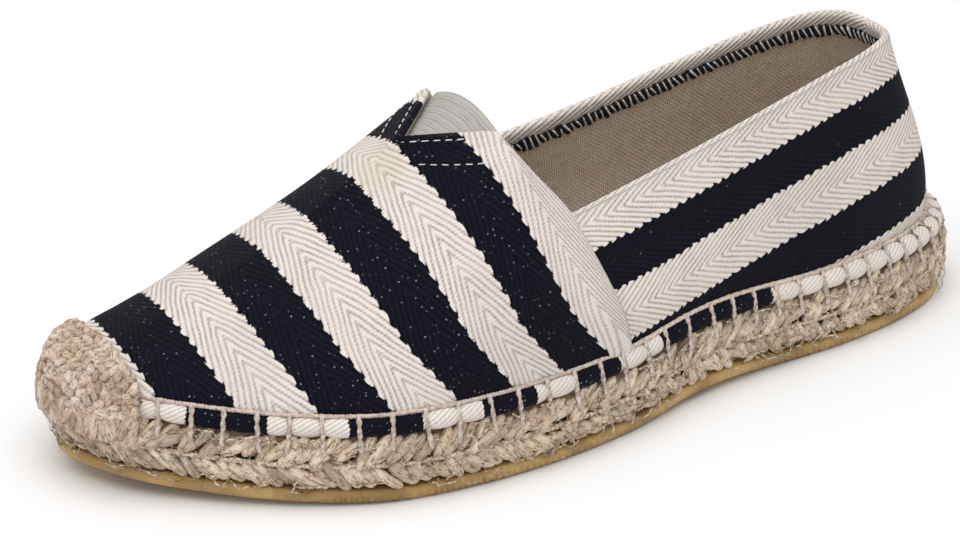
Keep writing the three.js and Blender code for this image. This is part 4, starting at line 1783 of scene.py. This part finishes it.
def depthPath(ring, grid, normals, depth, want, lift):
    points, outs, shares = [], [], []
    for i in range(len(grid)):
        if depth[i, 0] < want + 1:
            continue
        points.append(pointsAt(want, depth[i, ::-1], grid[i, ::-1]))
        outs.append(pointsAt(want, depth[i, ::-1], normals[i, ::-1]))
        shares.append(ring["share"][i])
    outs = unit(np.array(outs))
    return np.array(points) + outs * lift, outs, np.array(shares)


def spaced(points, outs, step, first):
    # places, outward directions and forward directions at equal steps
    run = runAlong(points)
    ways = np.arange(first, run[-1], step)
    ahead = pointsAt(np.minimum(ways + 0.5, run[-1]), run, points)
    behind = pointsAt(np.maximum(ways - 0.5, 0), run, points)
    return pointsAt(ways, run, points), unit(pointsAt(ways, run, outs)), unit(ahead - behind)


def onNavy(path, share):
    # which points of a path lie on the dark stripe round the notch
    pattern = vampPattern(vampGrid)[0]
    nearest = [pattern[i, np.argmin(np.linalg.norm(vampGrid[i] - p, axis=1))] for i, p in enumerate(path)]
    nearest = np.array(nearest)
    high, low = stripePlan["vampEdges"][-2:]
    return (share > upperPlan["flapShare"] + 0.004) & (nearest > low) & (nearest < high)


def makeDashes():
    plan = stitchPlan
    rows = []
    for want, lift in plan["rows"]:
        path, out, share = depthPath(vampRing, vampGrid, vampNormals, vampDepth, want, lift)
        keep = onNavy(path, share)
        middle = len(share) // 2
        for side in (slice(0, middle), slice(middle, len(share))):
            inside = keep[side]
            spots, normals, forwards = spaced(path[side][inside], out[side][inside], plan["gap"], 0.6)
            rows += [(a, c, b, np.array(plan["dash"]) * mm) for a, b, c in zip(spots, normals, forwards)]
    settings = {"Pieces": dashPieces, "Seed": 3, "Size jitter": 0.08, "Turn jitter": 0.08}
    growRows("notchStitches", rows, settings, whiteThread, "upper_cloth")


def makePiping():
    plan = stitchPlan
    path, _, share = depthPath(vampRing, vampGrid, vampNormals, vampDepth, plan["pipingDepth"], 0.45)
    guide = cordGuide("pipingGuide", [path[onNavy(path, share)]])
    settings = {"Radius": plan["piping"], "Sides": 8, "Lobes": 2.0, "Lobe depth": 0.12}
    settings.update({"Turns per metre": 150.0, "Material": blackThread})
    finishPiece(grown("notchPiping", guide, cordTree, settings), blackThread, "upper_cloth")


def makeOverlock(name, material, first, size):
    plan = stitchPlan
    want = plan["overlockDepth"]
    path, out, share = depthPath(quarterRun, quarterGrid, quarterNormals, quarterDepth, want, -2.5)
    keep = share < upperPlan["seamShare"] + 0.004
    spots, normals, forwards = spaced(path[keep], -out[keep], plan["overlockStep"], first)
    axes = unit(np.cross(normals, forwards) - forwards * 0.4)
    rows = [(a, c, b, np.array(size) * mm) for a, b, c in zip(spots, normals, axes)]
    settings = {"Pieces": dashPieces, "Seed": 6, "Size jitter": 0.2, "Turn jitter": 0.25}
    growRows(name, rows, settings, material, "upper_cloth")


makeDashes()
makePiping()
makeOverlock("overlockDark", blackThread, 0.3, (4.3, 1.2, 0.9))
makeOverlock("overlockLight", whiteThread, 1.15, (3.4, 0.6, 0.9))
print("stitches made")

# Floor and soft studio light
studioPlan = {
    "floor": (0.955, 0.955, 0.96, 1),
    "floorShade": (0.92, 0.92, 0.925, 1),
    "side": 6000.0,
    "world": 0.59,
    "lights": [
        ("keyLight", 34.5, 2.4, (0.5, 0.25, 2.3)),
        ("fillLight", 3.0, 1.0, (0.15, 1.0, 1.5)),
    ],
    "aim": (0, 0, 0.03),
}


def makeStudio():
    plan = studioPlan
    square = np.array([[-1, -1, 0], [1, -1, 0], [1, 1, 0], [-1, 1, 0]])
    corners = square * plan["side"] - rowOrigin
    floor = makeObject("studioFloor", corners, [(0, 1, 2, 3)])
    material, tree, shader = newMaterial("paleFloor", 0.9, 0.1)
    place = objectPlace(tree)
    colour = mixed(tree, noise(tree, place, 3, 1), plan["floor"], plan["floorShade"])
    tree.links.new(colour, shader.inputs["Base Color"])
    floor.data.materials.append(material)
    world = bpy.data.worlds.new("studio")
    scene.world = world
    world.use_nodes = True
    background = world.node_tree.nodes["Background"].inputs
    background["Color"].default_value = (1, 1, 1, 1)
    background["Strength"].default_value = plan["world"]
    for name, power, size, place in plan["lights"]:
        data = bpy.data.lights.new(name, "AREA")
        data.energy = power
        data.size = size
        light = bpy.data.objects.new(name, data)
        light.location = place
        aim = Vector(place) - Vector(plan["aim"])
        light.rotation_euler = aim.to_track_quat("Z", "Y").to_euler()
        scene.collection.objects.link(light)
    scene.view_settings.view_transform = "Standard"


makeStudio()
print("studio made")
